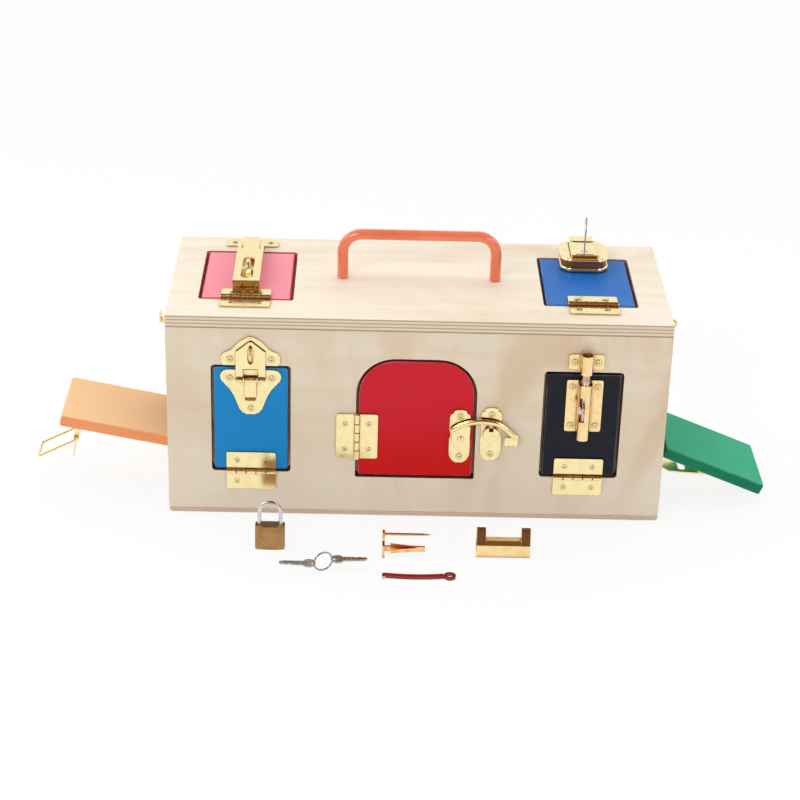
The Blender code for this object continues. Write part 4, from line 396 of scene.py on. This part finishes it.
def enamel(name, bright, deep, roughness, coat=0.4):
    look = Look(name)
    cloud = look.noise(35.0)
    colour = look.mix(look.span(cloud, 0.3, 0.75), bright, deep)
    scuffs = look.span(look.noise(1.0, look.scaled(160, 900, 900), 2.0), 0.70, 0.78)
    colour = look.mix(look.math("MULTIPLY", scuffs, 0.3), colour, lightened(bright, 1.3, 0.05))
    look.bump(look.noise(420.0, None, 2.0), 0.10, 0.0002)
    rough = look.span(cloud, 0.3, 0.7, roughness - 0.04, roughness + 0.05)
    return look.finish(Base_Color=colour, Roughness=rough, Coat_Weight=coat, Coat_Roughness=0.1)


# Colours of the painted shade in the brass's corners and hollows
HOLLOW_SHADE = (0.42, 0.19, 0.055)
WARM_HOLLOW_SHADE = (0.42, 0.17, 0.045)

brass = metal("polished_brass", (0.97, 0.83, 0.46), (0.93, 0.77, 0.38), 0.10, 0.35, hollow_shade=HOLLOW_SHADE)
warm_brass = metal("warm_brass", (0.97, 0.76, 0.40), (0.92, 0.64, 0.27), 0.11, 0.35, hollow_shade=WARM_HOLLOW_SHADE)
amber_brass = metal("amber_brass", (0.95, 0.66, 0.30), (0.80, 0.46, 0.16), 0.16, hollow_shade=WARM_HOLLOW_SHADE)
satin_brass = metal("satin_brass", (0.45, 0.26, 0.10), (0.34, 0.18, 0.07), 0.34, 0.3, (240, 240, 2400))
# Dark brass as painted reflection and shade: on the bar lock's ear sides, as if they reflected the dark
# room, and in the gaps between the hinges' knuckles
shaded_brass = metal("shaded_brass", (0.30, 0.16, 0.055), (0.19, 0.09, 0.03), 0.22, 0.4)
steel = metal("bright_steel", (0.74, 0.74, 0.76), (0.60, 0.60, 0.62), 0.14)
warm_steel = metal("warm_steel", (0.68, 0.56, 0.49), (0.46, 0.33, 0.27), 0.18)
worn_steel = metal("worn_steel", (0.50, 0.48, 0.47), (0.30, 0.28, 0.27), 0.2, 0.9)
handle_enamel = enamel("orange_enamel", (1.0, 0.245, 0.115), (0.90, 0.19, 0.08), 0.26, 0.8)
key_lacquer = enamel("red_lacquer", (0.30, 0.012, 0.007), (0.20, 0.008, 0.005), 0.22)
# Dark enamel as painted shade: in the screws' cross recesses and grooves, the key lock's keyhole and
# slots, and the bar lock's socket and bores
recess = enamel("screw_recess", (0.045, 0.020, 0.008), (0.025, 0.011, 0.005), 0.6)
# Dark brown enamel as painted shade on the key lock's core, under its plates
shaded_core = enamel("shaded_core", (0.25, 0.11, 0.04), (0.12, 0.045, 0.015), 0.35)

# Whatever is neither wooden nor listed here is polished brass
finishes = {
    "carrying_handle": handle_enamel,
    "padlock_body": satin_brass,
    "padlock_shackle": steel,
    "key_lock_key": steel,
    "key_ring": worn_steel,
    "ring_key_left": worn_steel,
    "ring_key_right": worn_steel,
    "bar_lock_key": key_lacquer,
    "bar_lock_spring_bolt": amber_brass,
    "barrel_bolt_body": warm_brass,
    "barrel_bolt_keeper": warm_brass,
    "barrel_bolt_rod": warm_steel,
}
for node in nodes:
    if not node.endswith(("_panel", "_door")):
        dress(node, finishes.get(node, brass))


# Rounded edges and smooth shading on the CAD solids

THIN_PLATES = ("lever_latch_plate", "lever_latch_keeper", "hasp_bell_plate", "hasp_heart_plate")


def rounding(node):
    """Width in mm and segments of a CAD piece's rounded edges."""
    if node in ("top_left_door", "top_right_door"):
        return 2.6, 6
    if node.endswith("_door") or node == "padlock_body":
        return 1.3, 4
    if node.endswith("_panel"):
        return 0.6, 3
    if node in THIN_PLATES:
        return 0.45, 3
    return 0.22, 2


def round_edges(obj, width, segments):
    bevel = obj.modifiers.new("edges", "BEVEL")
    bevel.width = width * mm
    bevel.segments = segments
    bevel.limit_method = "ANGLE"
    bevel.angle_limit = SHARP
    shading = obj.modifiers.new("shading", "WEIGHTED_NORMAL")
    shading.weight = 100
    shading.keep_sharp = True


for node, obj in nodes.items():
    weld = obj.modifiers.new("weld", "WELD")
    weld.merge_threshold = 0.01 * mm
    faces = obj.modifiers.new("faces", "DECIMATE")
    faces.decimate_type = "DISSOLVE"
    faces.angle_limit = math.radians(1)
    round_edges(obj, *rounding(node))
    obj.data.shade_smooth()
    obj.data.set_sharp_from_angle(angle=SHARP)


# Places on the box: each frame's x runs along the wall, y up it, z out of it


def wall(x, y, z, origin):
    return Matrix.Translation(origin) @ Matrix((x, y, z)).transposed().to_4x4()


def opened(wall_frame, angle):
    """The frame of an end door that is turned about its pin."""
    pin = Matrix.Translation((0, LOW_PIN, PIN_LEVEL))
    return wall_frame @ pin @ Matrix.Rotation(angle, 4, "X") @ pin.inverted()


front = wall((1, 0, 0), (0, 0, 1), (0, -1, 0), (0, FRONT_FACE, 0))
top = wall((1, 0, 0), (0, 1, 0), (0, 0, 1), (0, 0, TOP_FACE))
left = wall((0, -1, 0), (0, 0, 1), (-1, 0, 0), (-END_FACE, 0, 0))
right = wall((0, 1, 0), (0, 0, 1), (1, 0, 0), (END_FACE, 0, 0))
left_door = opened(left, LEFT_OPEN)
right_door = opened(right, RIGHT_OPEN)

# Frames of the fittings that are made again below
key_lock_place = top @ Matrix.Translation((RIGHT_LID_X, 0, 0))
lever_place = front @ Matrix.Translation((0.0354, 0.0735, 0))
bar_lock_place = wall((0, 1, 0), (0, 0, 1), (1, 0, 0), (0.0700, -0.13945, 0))
red_tip_place = Matrix.Translation((-0.0246, -0.1770, 0))

# Wall of the fixed leaf, frame of the moving leaf, middle of the pin, moving body, pin upright
hinges = {
    "front_left": (front, front, FRONT_LEFT_X, LOW_PIN, "front_left_door_body", False),
    "front_right": (front, front, FRONT_RIGHT_X, LOW_PIN, "front_right_door_body", False),
    "centre": (front, front, CENTRE_PIN_X, CENTRE_PIN_Y, "centre_door_body", True),
    "top_left": (top, top, LEFT_LID_X, LID_PIN, "top_left_lid_body", False),
    "top_right": (top, top, RIGHT_LID_X, LID_PIN, "top_right_lid_body", False),
    "left_end": (left, left_door, END_DOOR_X, LOW_PIN, "left_end_door_body", False),
    "right_end": (right, right_door, -END_DOOR_X, LOW_PIN, "right_end_door_body", False),
}


# Outlines in mm


def rectangle(x0, y0, x1, y1):
    return [(x0, y0), (x1, y0), (x1, y1), (x0, y1)]


def circle(x, y, radius, steps=20):
    turns = [2 * math.pi * i / steps for i in range(steps)]
    return [(x + radius * math.cos(a), y + radius * math.sin(a)) for a in turns]


def arc(x, y, half_width, half_height, start, stop, steps):
    """Points of an oval from start to stop, in degrees."""
    found = []
    for k in range(steps + 1):
        turn = math.radians(start + (stop - start) * k / steps)
        found.append((x + half_width * math.cos(turn), y + half_height * math.sin(turn)))
    return found


def softened(points, radius, steps=4):
    """The outline with its corners rounded."""
    found = []
    for i, corner in enumerate(points):
        corner = Vector(corner)
        before = Vector(points[i - 1]) - corner
        after = Vector(points[(i + 1) % len(points)]) - corner
        reach = radius / math.tan(before.angle(after) / 2)
        start = corner + before.normalized() * reach
        end = corner + after.normalized() * reach
        for k in range(steps + 1):
            t = k / steps
            found.append(start * (1 - t) ** 2 + corner * 2 * t * (1 - t) + end * t * t)
    return found


def curve_through(knots, steps):
    """Points of a smooth curve through the knots."""
    last = len(knots) - 1
    found = []
    for i in range(last):
        a, b, c, d = [knots[min(max(k, 0), last)] for k in (i - 1, i, i + 1, i + 2)]
        for k in range(steps):
            t = k / steps
            first = (c - a) * t
            second = (a * 2 - b * 5 + c * 4 - d) * t**2
            third = (b * 3 - a - c * 3 + d) * t**3
            found.append(b + (first + second + third) / 2)
    found.append(knots[last])
    return found


# Solids built from outlines


def ring(mesh, place, points):
    return [mesh.verts.new(place @ (Vector(p) * mm)) for p in points]


def join(mesh, low, high, tone=0):
    """A band of faces between two rings; tone is the number of its material."""
    for i in range(len(low)):
        j = (i + 1) % len(low)
        mesh.faces.new((low[i], low[j], high[j], high[i])).material_index = tone


def tower(mesh, place, rows, toned=(), tone=1):
    """Bands up through rows of (outline, level); the toned ones get that material."""
    rings = [ring(mesh, place, [(*p, level) for p in points]) for points, level in rows]
    for k, (low, high) in enumerate(zip(rings, rings[1:])):
        join(mesh, low, high, tone if k in toned else 0)
    return rings


def fill(mesh, *loops):
    """A flat face inside the first loop, with holes where the other ones are."""
    edges = []
    for loop in loops:
        for a, b in zip(loop, loop[1:] + loop[:1]):
            edges.append(mesh.edges.get((a, b)) or mesh.edges.new((a, b)))
    bmesh.ops.triangle_fill(mesh, use_beauty=True, edges=edges)


def plate(mesh, place, outline, low, high):
    for rim in tower(mesh, place, [(outline, low), (outline, high)]):
        fill(mesh, rim)


def bored_plate(mesh, place, outline, bore, low, high, side_tone=0, bore_tone=0):
    outer = tower(mesh, place, [(outline, low), (outline, high)], (0,), side_tone)
    inner = tower(mesh, place, [(bore, low), (bore, high)], (0,), bore_tone)
    for rim, hole in zip(outer, inner):
        fill(mesh, rim, hole)


def piece(name, mesh, body, *materials, smooth_angle=35):
    """Makes the mesh an object that rides the body."""
    data = bpy.data.meshes.new(name)
    bmesh.ops.recalc_face_normals(mesh, faces=mesh.faces)
    mesh.to_mesh(data)
    mesh.free()
    for material in materials:
        data.materials.append(material)
    data.shade_smooth()
    data.set_sharp_from_angle(angle=math.radians(smooth_angle))
    obj = bpy.data.objects.new(name, data)
    bpy.context.scene.collection.objects.link(obj)
    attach(obj, body)
    return obj


# Countersunk screws with a cross recess

# Ring radius over the head's, and level in mm: rim, groove around the head, domed top
SCREW_PROFILE = ((1.0, -0.15), (1.0, 0.10), (0.97, 0.14), (0.89, -0.30), (0.68, 0.24), (0.60, 0.40))
# The groove is painted shade, in the dark enamel
SCREW_GROOVE = (2, 3)
CROSS_ARM, CROSS_HALF = 0.40, 0.17
CROSS_RIM, CROSS_FLOOR, CROSS_TAPER = 0.42, -0.6, 0.7


def screw(mesh, place, radius):
    """Adds one head, its radius in mm; place has its seat at z = 0."""
    place = place @ Matrix.Rotation(seeded.uniform(0, math.pi), 4, "Z")
    rows = [(circle(0, 0, radius * share, 24), level) for share, level in SCREW_PROFILE]
    rings = tower(mesh, place, rows, SCREW_GROOVE)
    arm, half = radius * CROSS_ARM, radius * CROSS_HALF
    rim = []
    for quarter in range(4):
        spin = Matrix.Rotation(quarter * math.pi / 2, 2)
        rim += [spin @ Vector(corner) for corner in ((half, -half), (arm, -half), (arm, half))]
    floor = [p * CROSS_TAPER for p in rim]
    # The walls and floor of the cross are painted shade, in the dark enamel
    cross = tower(mesh, place, [(floor, CROSS_FLOOR), (rim, CROSS_RIM)], (0,))
    mesh.faces.new(cross[0]).material_index = 1
    fill(mesh, rings[-1], cross[1])
    mesh.faces.new(rings[0])


trees = {}


def surface(node, place, x, y, reach=0.03):
    """The level of a node's outer surface over (x, y) of a wall's frame, or None."""
    if node not in trees:
        mesh = nodes[node].data
        mesh.calc_loop_triangles()
        points = [v.co.copy() for v in mesh.vertices]
        trees[node] = BVHTree.FromPolygons(points, [t.vertices[:] for t in mesh.loop_triangles])
    start = place @ Vector((x, y, reach))
    inwards = (place.to_3x3() @ Vector((0, 0, -1))).normalized()
    distance = trees[node].ray_cast(start, inwards)[3]
    return None if distance is None else reach - distance


# Steps in mm from the middle of a screw hole to the whole surface around it
AROUND_HOLE = ((2.2, 0), (-2.2, 0), (0, 2.2), (0, -2.2))


def screws(name, body, places):
    """places lists (node, wall frame, x, y, head radius in mm)."""
    made = bmesh.new()
    for node, place, x, y, radius in places:
        levels = [surface(node, place, x + dx * mm, y + dy * mm) for dx, dy in AROUND_HOLE]
        seat = max(level for level in levels if level is not None)
        screw(made, place @ Matrix.Translation((x, y, seat)), radius)
    piece(name, made, body, brass, recess)


# Radius of the heads in mm, on the hinge leaves, the latch plates and the smaller strikes
LEAF_HEAD = 2.4
PLATE_HEAD = 3.1
TOGGLE_STRIKE_HEAD = 2.6
DRAW_KEEPER_HEAD = 2.3

# Where a leaf's screws are: from its middle along the pin, and out from the pin
LEAF_SCREW_ALONG = 11.35 * mm
LEAF_SCREW_OUT = 9.5 * mm


def leaf_screws(leaf, place, x, y, side, upright):
    """side is the side of the pin that the leaf is on, -1 or 1."""
    for s in (-1, 1):
        dx, dy = s * LEAF_SCREW_ALONG, side * LEAF_SCREW_OUT
        if upright:
            dx, dy = dy, dx
        yield (leaf, place, x + dx, y + dy, LEAF_HEAD)


def pair(x, half, y):
    return [(x - half, y), (x + half, y)]


on_box = []
on_door = {}
for door, (fixed, moving, x, y, body, upright) in hinges.items():
    on_box += leaf_screws(door + "_hinge_fixed_leaf", fixed, x, y, -1, upright)
    on_door[body] = list(leaf_screws(door + "_hinge_moving_leaf", moving, x, y, 1, upright))

bolt_points = [(BOLT_X + s * 0.0100, y) for s in (-1, 1) for y in (0.0876, 0.1220)]
heart_points = pair(FRONT_LEFT_X, 0.0168, 0.1236) + [(FRONT_LEFT_X, 0.0968)]
lever_plate_points = [(0.0347, 0.0573), (0.0347, 0.0929)]
lever_keeper_points = [(0.0597, 0.0598), (0.0597, 0.0954)]

# Body, plate, wall, head radius in mm, middles of the heads
plate_screws = (
    ("box", "hasp_bell_plate", front, PLATE_HEAD, pair(FRONT_LEFT_X, 0.0164, 0.1401)),
    ("box", "lever_latch_keeper", front, PLATE_HEAD, lever_keeper_points),
    ("box", "barrel_bolt_keeper", front, PLATE_HEAD, pair(BOLT_X, 0.0095, 0.1435)),
    ("box", "toggle_strike", top, TOGGLE_STRIKE_HEAD, pair(TOGGLE_X, 0.0150, 0.0668)),
    ("box", "draw_latch_keeper", left, DRAW_KEEPER_HEAD, pair(END_DOOR_X, 0.0050, 0.1522)),
    ("front_left_door_body", "hasp_heart_plate", front, PLATE_HEAD, heart_points),
    ("centre_door_body", "lever_latch_plate", front, PLATE_HEAD, lever_plate_points),
    ("front_right_door_body", "barrel_bolt_body", front, PLATE_HEAD, bolt_points),
)
for body, node, place, radius, points in plate_screws:
    rows = on_box if body == "box" else on_door[body]
    rows += [(node, place, x, y, radius) for x, y in points]

screws("screws_on_box", "box", on_box)
for body, rows in on_door.items():
    screws("screws_on_" + body, body, rows)


# Key lock: rounded plates over a recessed core, a raised block with a rim, slots and keyhole

# Inset from the outline and level, both in mm
CASE_PROFILE = (
    (0.5, 0.6), (0.05, 0.9), (0, 1.3), (0, 3.3), (0.3, 3.9), (1.0, 4.2), (3.5, 4.2), (3.5, 9.6),
    (1.0, 9.6), (0.3, 9.8), (0, 10.2), (0, 11.1), (0.3, 11.7), (0.9, 12.0), (1.5, 12.0),
)
# The core's bands are painted shade, in the dark brown enamel
CASE_CORE = (5, 6, 7)
BLOCK_PROFILE = (
    (-0.45, 12.0), (-0.35, 11.4), (0, 11.4), (0, 13.5), (0.25, 13.85), (0.6, 14.0),
    (1.6, 14.0), (1.9, 13.6),
)
BLOCK_GROOVE = (0, 1)
BLOCK_FACE = 13.6
KEYHOLE_Y, KEYHOLE_RADIUS, KEYHOLE_FLOOR = 34.5, 3.0, 6.0
SLOTS_Y, SLOT_HALF_LENGTH, SLOT_HALF_WIDTH, SLOT_FLOOR = (27.7, 54.3), 7.6, 0.8, 12.5


def case_outline(inset):
    half, low, high, cut = 20.0 - inset, 20.0 + inset, 61.0 - inset, 6.6
    points = [(-half, low + cut), (-half + cut, low), (half - cut, low), (half, low + cut)]
    points += [(half, high - cut), (half - cut, high), (-half + cut, high), (-half, high - cut)]
    return softened(points, 8.0, 5)


def block_outline(inset):
    return softened(rectangle(-11.5 + inset, 24.5 + inset, 11.5 - inset, 57.5 - inset), 1.2)


def key_lock_case():
    made = bmesh.new()
    rows = [(case_outline(inset), level) for inset, level in CASE_PROFILE]
    case = tower(made, key_lock_place, rows, CASE_CORE, 2)
    rows = [(block_outline(inset), level) for inset, level in BLOCK_PROFILE]
    block = tower(made, key_lock_place, rows, BLOCK_GROOVE)
    holes = [(circle(0, KEYHOLE_Y, KEYHOLE_RADIUS), KEYHOLE_FLOOR)]
    for y in SLOTS_Y:
        low, high = y - SLOT_HALF_WIDTH, y + SLOT_HALF_WIDTH
        slot = rectangle(-SLOT_HALF_LENGTH, low, SLOT_HALF_LENGTH, high)
        holes.append((softened(slot, 0.5), SLOT_FLOOR))
    rims = []
    for outline, level in holes:
        # The holes' walls and floors are painted shade, in the dark enamel
        floor, rim = tower(made, key_lock_place, [(outline, level), (outline, BLOCK_FACE)], (0,))
        made.faces.new(floor).material_index = 1
        rims.append(rim)
    fill(made, case[0])
    fill(made, case[-1], block[0])
    fill(made, block[-1], *rims)
    shell = piece("key_lock_case_shell", made, "top_right_lid_body", brass, recess, shaded_core)
    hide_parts("key_lock_case")


key_lock_case()


# Bar lock: a bar with a sloped roof and two ears, bored for the bolt, with a socket for the key

BAR_HALF = 21.3
BAR_ROOF = [(-5.75, 0), (5.75, 0), (5.75, 10.8), (3.2, 14.0), (-3.2, 14.0), (-5.75, 10.8)]
EAR = [(-5.75, 10.6), (5.75, 10.6), (5.75, 10.8), (2.0, 23.4), (-2.0, 23.4), (-5.75, 10.8)]
EAR_THICKNESS = 7.2
SOCKET = rectangle(-3.35, 2.5, 3.35, 10.4)
SOCKET_END = 18.9
BOLT_BORE = circle(0, 19.0, 1.7, 16)


def bar_lock():
    made = bmesh.new()
    bar = tower(made, bar_lock_place, [(BAR_ROOF, -BAR_HALF), (BAR_ROOF, BAR_HALF)])
    # The socket's walls and end are painted shade, in the dark enamel
    socket = tower(made, bar_lock_place, [(SOCKET, -BAR_HALF), (SOCKET, SOCKET_END)], (0,))
    fill(made, bar[0], socket[0])
    made.faces.new(bar[1])
    made.faces.new(socket[1]).material_index = 1
    # The ears' sides are dark brass, a painted dark reflection of the room, and their bores are painted
    # shade, in the dark enamel
    for start in (-BAR_HALF, BAR_HALF - EAR_THICKNESS):
        stop = start + EAR_THICKNESS
        bored_plate(made, bar_lock_place, EAR, BOLT_BORE, start, stop, side_tone=2, bore_tone=1)
    shell = piece("bar_lock_shell", made, "bar_lock_case_body", warm_brass, recess, shaded_brass)
    round_edges(shell, 0.35, 3)
    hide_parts("bar_lock_body")


bar_lock()


# Lever latch: a domed arm over the hub's plate, a lobed tab at its end and a round rivet head

HUB_LOW, HUB_HIGH = 1.8, 3.4
HUB_RADIUS, HUB_BORE = 7.2, 1.9
ARM_REACH, ARM_RISE = 46.0, 16.0
ARM_HALF, ARM_TAPER = 2.28, (0.55, 0.85, 1.0)
ARM_BASE, DOME_FOOT, DOME_RISE = 2.62, 3.3, 1.68
TAB_LOW, TAB_HIGH = 2.75, 3.75

# Shares of the arm's reach and rise, along its middle line
ARM_KNOTS = (
    (-0.167, 0.45), (-0.06, 0.68), (0.10, 0.88), (0.30, 1.0), (0.50, 0.98), (0.66, 0.86),
    (0.80, 0.58), (0.92, 0.25), (1.0, 0.09),
)
ARM_END_X, ARM_END_Y = ARM_REACH * ARM_KNOTS[-1][0], ARM_RISE * ARM_KNOTS[-1][1]


def lever_arm(made):
    """The domed arm, swept along a curve."""
    path = curve_through([Vector((ARM_REACH * u, ARM_RISE * v)) for u, v in ARM_KNOTS], 5)
    last = len(path) - 1
    turns = [math.pi * k / 12 for k in range(13)]
    section = [(math.cos(turn), DOME_FOOT + DOME_RISE * math.sin(turn) ** 0.8) for turn in turns]
    section += [(-1, ARM_BASE), (1, ARM_BASE)]
    rings = []
    for i, at in enumerate(path):
        ahead = (path[min(i + 1, last)] - path[max(i - 1, 0)]).normalized()
        aside = Vector((-ahead.y, ahead.x)) * ARM_HALF * ARM_TAPER[min(i, last - i, 2)]
        rings.append(ring(made, lever_place, [(*(at + aside * u), level) for u, level in section]))
    for low, high in zip(rings, rings[1:]):
        join(made, low, high)
    made.faces.new(rings[0])
    made.faces.new(rings[-1])


def lever_hub(made):
    outline = arc(0, 0, HUB_RADIUS, HUB_RADIUS, 180, 360, 24)
    outline += [(7.34, 5.8), (7.5, 11.3), (1.44, 12.6), (-HUB_RADIUS, 8.6)]
    bored_plate(made, lever_place, outline, circle(0, 0, HUB_BORE), HUB_LOW, HUB_HIGH)


def lever_tab(made):
    """The tab under the arm's end, with three lobes along its lower edge."""
    x, y = ARM_END_X, ARM_END_Y
    outline = [(x - 10.4, y + 0.6), (x - 10.4, y - 4.4)]
    for middle in (-8.65, -5.25, -1.85):
        outline += arc(x + middle, y - 4.9, 1.8, 1.95, 195, 345, 6)
    outline += [(x - 0.05, y - 4.4), (x - 0.05, y + 1.0)]
    plate(made, lever_place, outline, TAB_LOW, TAB_HIGH)


def lever_latch():
    made = bmesh.new()
    lever_arm(made)
    lever_hub(made)
    lever_tab(made)
    arm = piece("lever_latch_arm", made, "latch_lever_body", brass, smooth_angle=50)
    round_edges(arm, 0.3, 3)
    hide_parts("lever_latch_lever")

    made = bmesh.new()
    rivet_radius, rivet_height, rivet_base = 2.95, 1.5, HUB_HIGH + 0.3
    rows = []
    for turn in (0.0, 0.25, 0.5, 0.8, 1.1, 1.4):
        outline = circle(0, 0, rivet_radius * math.cos(turn), 24)
        rows.append((outline, rivet_base + rivet_height * math.sin(turn)))
    rings = tower(made, lever_place, rows)
    made.faces.new(rings[0])
    made.faces.new(rings[-1])
    piece("lever_latch_rivet", made, "centre_door_body", brass)


lever_latch()


# Dark rings at the joints between the hinges' knuckles: painted shade in the gaps

KNUCKLES = 5
KNUCKLE_PITCH = 7.94
# Radius and offset from the joint's middle
JOINT_PROFILE = ((2.02, -0.6), (2.13, -0.42), (2.13, 0.42), (2.02, 0.6))


def knuckle_joints():
    made = bmesh.new()
    for place, _, x, y, _, upright in hinges.values():
        along = Matrix.Rotation(-math.pi / 2, 4, "X") if upright else Matrix.Rotation(math.pi / 2, 4, "Y")
        pin = place @ Matrix.Translation((x, y, PIN_LEVEL)) @ along
        for joint in range(1, KNUCKLES):
            middle = (joint - KNUCKLES / 2) * KNUCKLE_PITCH
            rows = [(circle(0, 0, radius), middle + offset) for radius, offset in JOINT_PROFILE]
            rings = tower(made, pin, rows)
            fill(made, rings[0])
            fill(made, rings[-1])
    piece("knuckle_joints", made, "box", shaded_brass)


knuckle_joints()


# Brass tip of the red key


def red_key_tip():
    made = bmesh.new()
    plate(made, red_tip_place, softened(rectangle(-1.45, -4.15, 1.45, -1.3), 0.5), 0.1, 2.45)
    piece("red_key_tip", made, "bar_key_body", brass)


red_key_tip()


# Floor: white to the camera and in reflections, a pale diffuse surface to all other light

FLOOR_REACH = 6
FLOOR_WHITE = (0.95, 0.95, 0.95, 1)
FLOOR_GLOW = 0.85


def floor_white():
    look = Look("floor_white")
    rays = look.node("ShaderNodeLightPath").outputs
    seen = look.math("MAXIMUM", rays["Is Camera Ray"], rays["Is Glossy Ray"])
    seen = look.math("MAXIMUM", seen, rays["Is Transmission Ray"])
    glow = look.feed(look.node("ShaderNodeEmission"), Color=(1, 1, 1, 1), Strength=1.0)
    share = look.math("MULTIPLY", seen, FLOOR_GLOW)
    surface_shader = look.choose(share, look.shader.outputs[0], glow.outputs[0])
    look.feed(look.tree.nodes["Material Output"], Surface=surface_shader)
    return look.finish(Base_Color=FLOOR_WHITE, Roughness=0.9, Specular_IOR_Level=0.0)


floor_mesh = bpy.data.meshes.new("floor")
floor_corners = [(x * FLOOR_REACH, y * FLOOR_REACH, 0) for x, y in rectangle(-1, -1, 1, 1)]
floor_mesh.from_pydata(floor_corners, [], [(0, 1, 2, 3)])
floor_mesh.materials.append(floor_white())
floor = bpy.data.objects.new("floor", floor_mesh)
bpy.context.scene.collection.objects.link(floor)


# World: diffuse light comes mostly from the white backdrop behind and above. Metal sees that
# backdrop, paler sides and a dark room above and behind the camera.

WHITE = (1, 1, 1)
ROOM_LOW = (0.36, 0.165, 0.062)
ROOM_HIGH = (0.17, 0.075, 0.027)

world = bpy.data.worlds.new("studio")
bpy.context.scene.world = world
world.use_nodes = True
world.node_tree.nodes.clear()
sky = Nodes(world.node_tree)


def background(colour):
    return sky.feed(sky.node("ShaderNodeBackground"), Color=colour, Strength=1.0).outputs[0]


towards = sky.parts(sky.node("ShaderNodeTexCoord").outputs["Generated"])
overhead = sky.span(towards["Z"], 0.0, 0.8, 0.72, 1.38)
diffuse = sky.math("MULTIPLY", sky.span(towards["Y"], -0.45, 0.12, 0.05, 1.0), overhead)

below_ceiling = sky.span(towards["Z"], 0.86, 0.55)
backdrop = sky.math("MULTIPLY", sky.span(towards["Y"], -0.1, 0.4), below_ceiling)
sides = sky.span(sky.math("ABSOLUTE", towards["X"]), 0.45, 0.95, 0.0, 0.6)
room = sky.mix(sky.span(towards["Z"], 0.15, 0.6), ROOM_LOW, ROOM_HIGH)
reflected = sky.mix(sky.math("MAXIMUM", backdrop, sides), room, WHITE)

rays = sky.node("ShaderNodeLightPath").outputs
world_light = sky.choose(rays["Is Glossy Ray"], background(diffuse), background(reflected))
world_light = sky.choose(rays["Is Camera Ray"], world_light, background((*WHITE, 1)))
sky.feed(sky.node("ShaderNodeOutputWorld"), Surface=world_light)


# Softboxes: place, point that they light, width and height, power

softboxes = {
    "key": ((-0.9, -1.5, 1.35), (0, 0, 0.05), (1.0, 0.8), 13),
    "fill": ((1.3, -1.5, 1.0), (0, 0, 0.08), (0.9, 0.7), 7),
    "left": ((-1.2, 0.1, 0.9), (-0.25, 0, 0.1), (0.6, 0.6), 2.5),
    "right": ((1.2, 0.1, 0.9), (0.25, 0, 0.1), (0.6, 0.6), 1.2),
}
for name, (place, target, size, power) in softboxes.items():
    light = bpy.data.lights.new(name, "AREA")
    light.shape = "RECTANGLE"
    light.size, light.size_y = size
    light.energy = power
    lamp = bpy.data.objects.new(name, light)
    lamp.location = place
    lamp.rotation_euler = (Vector(target) - Vector(place)).to_track_quat("-Z", "Y").to_euler()
    bpy.context.scene.collection.objects.link(lamp)


# Camera, fitted to the box's corners in the photo

CAMERA_PLACE = (-0.04185, -1.60072, 0.86780)
CAMERA_TURN = (63.3714, -1.4785, -0.3067)
CAMERA_LENS = 95.93

camera_data = bpy.data.cameras.new("camera")
camera_data.sensor_width = 36
camera_data.lens = CAMERA_LENS
camera_data.clip_start = 0.05
camera = bpy.data.objects.new("camera", camera_data)
camera.location = CAMERA_PLACE
camera.rotation_euler = [math.radians(angle) for angle in CAMERA_TURN]
bpy.context.scene.collection.objects.link(camera)
bpy.context.scene.camera = camera
bpy.context.scene.view_settings.view_transform = "Standard"
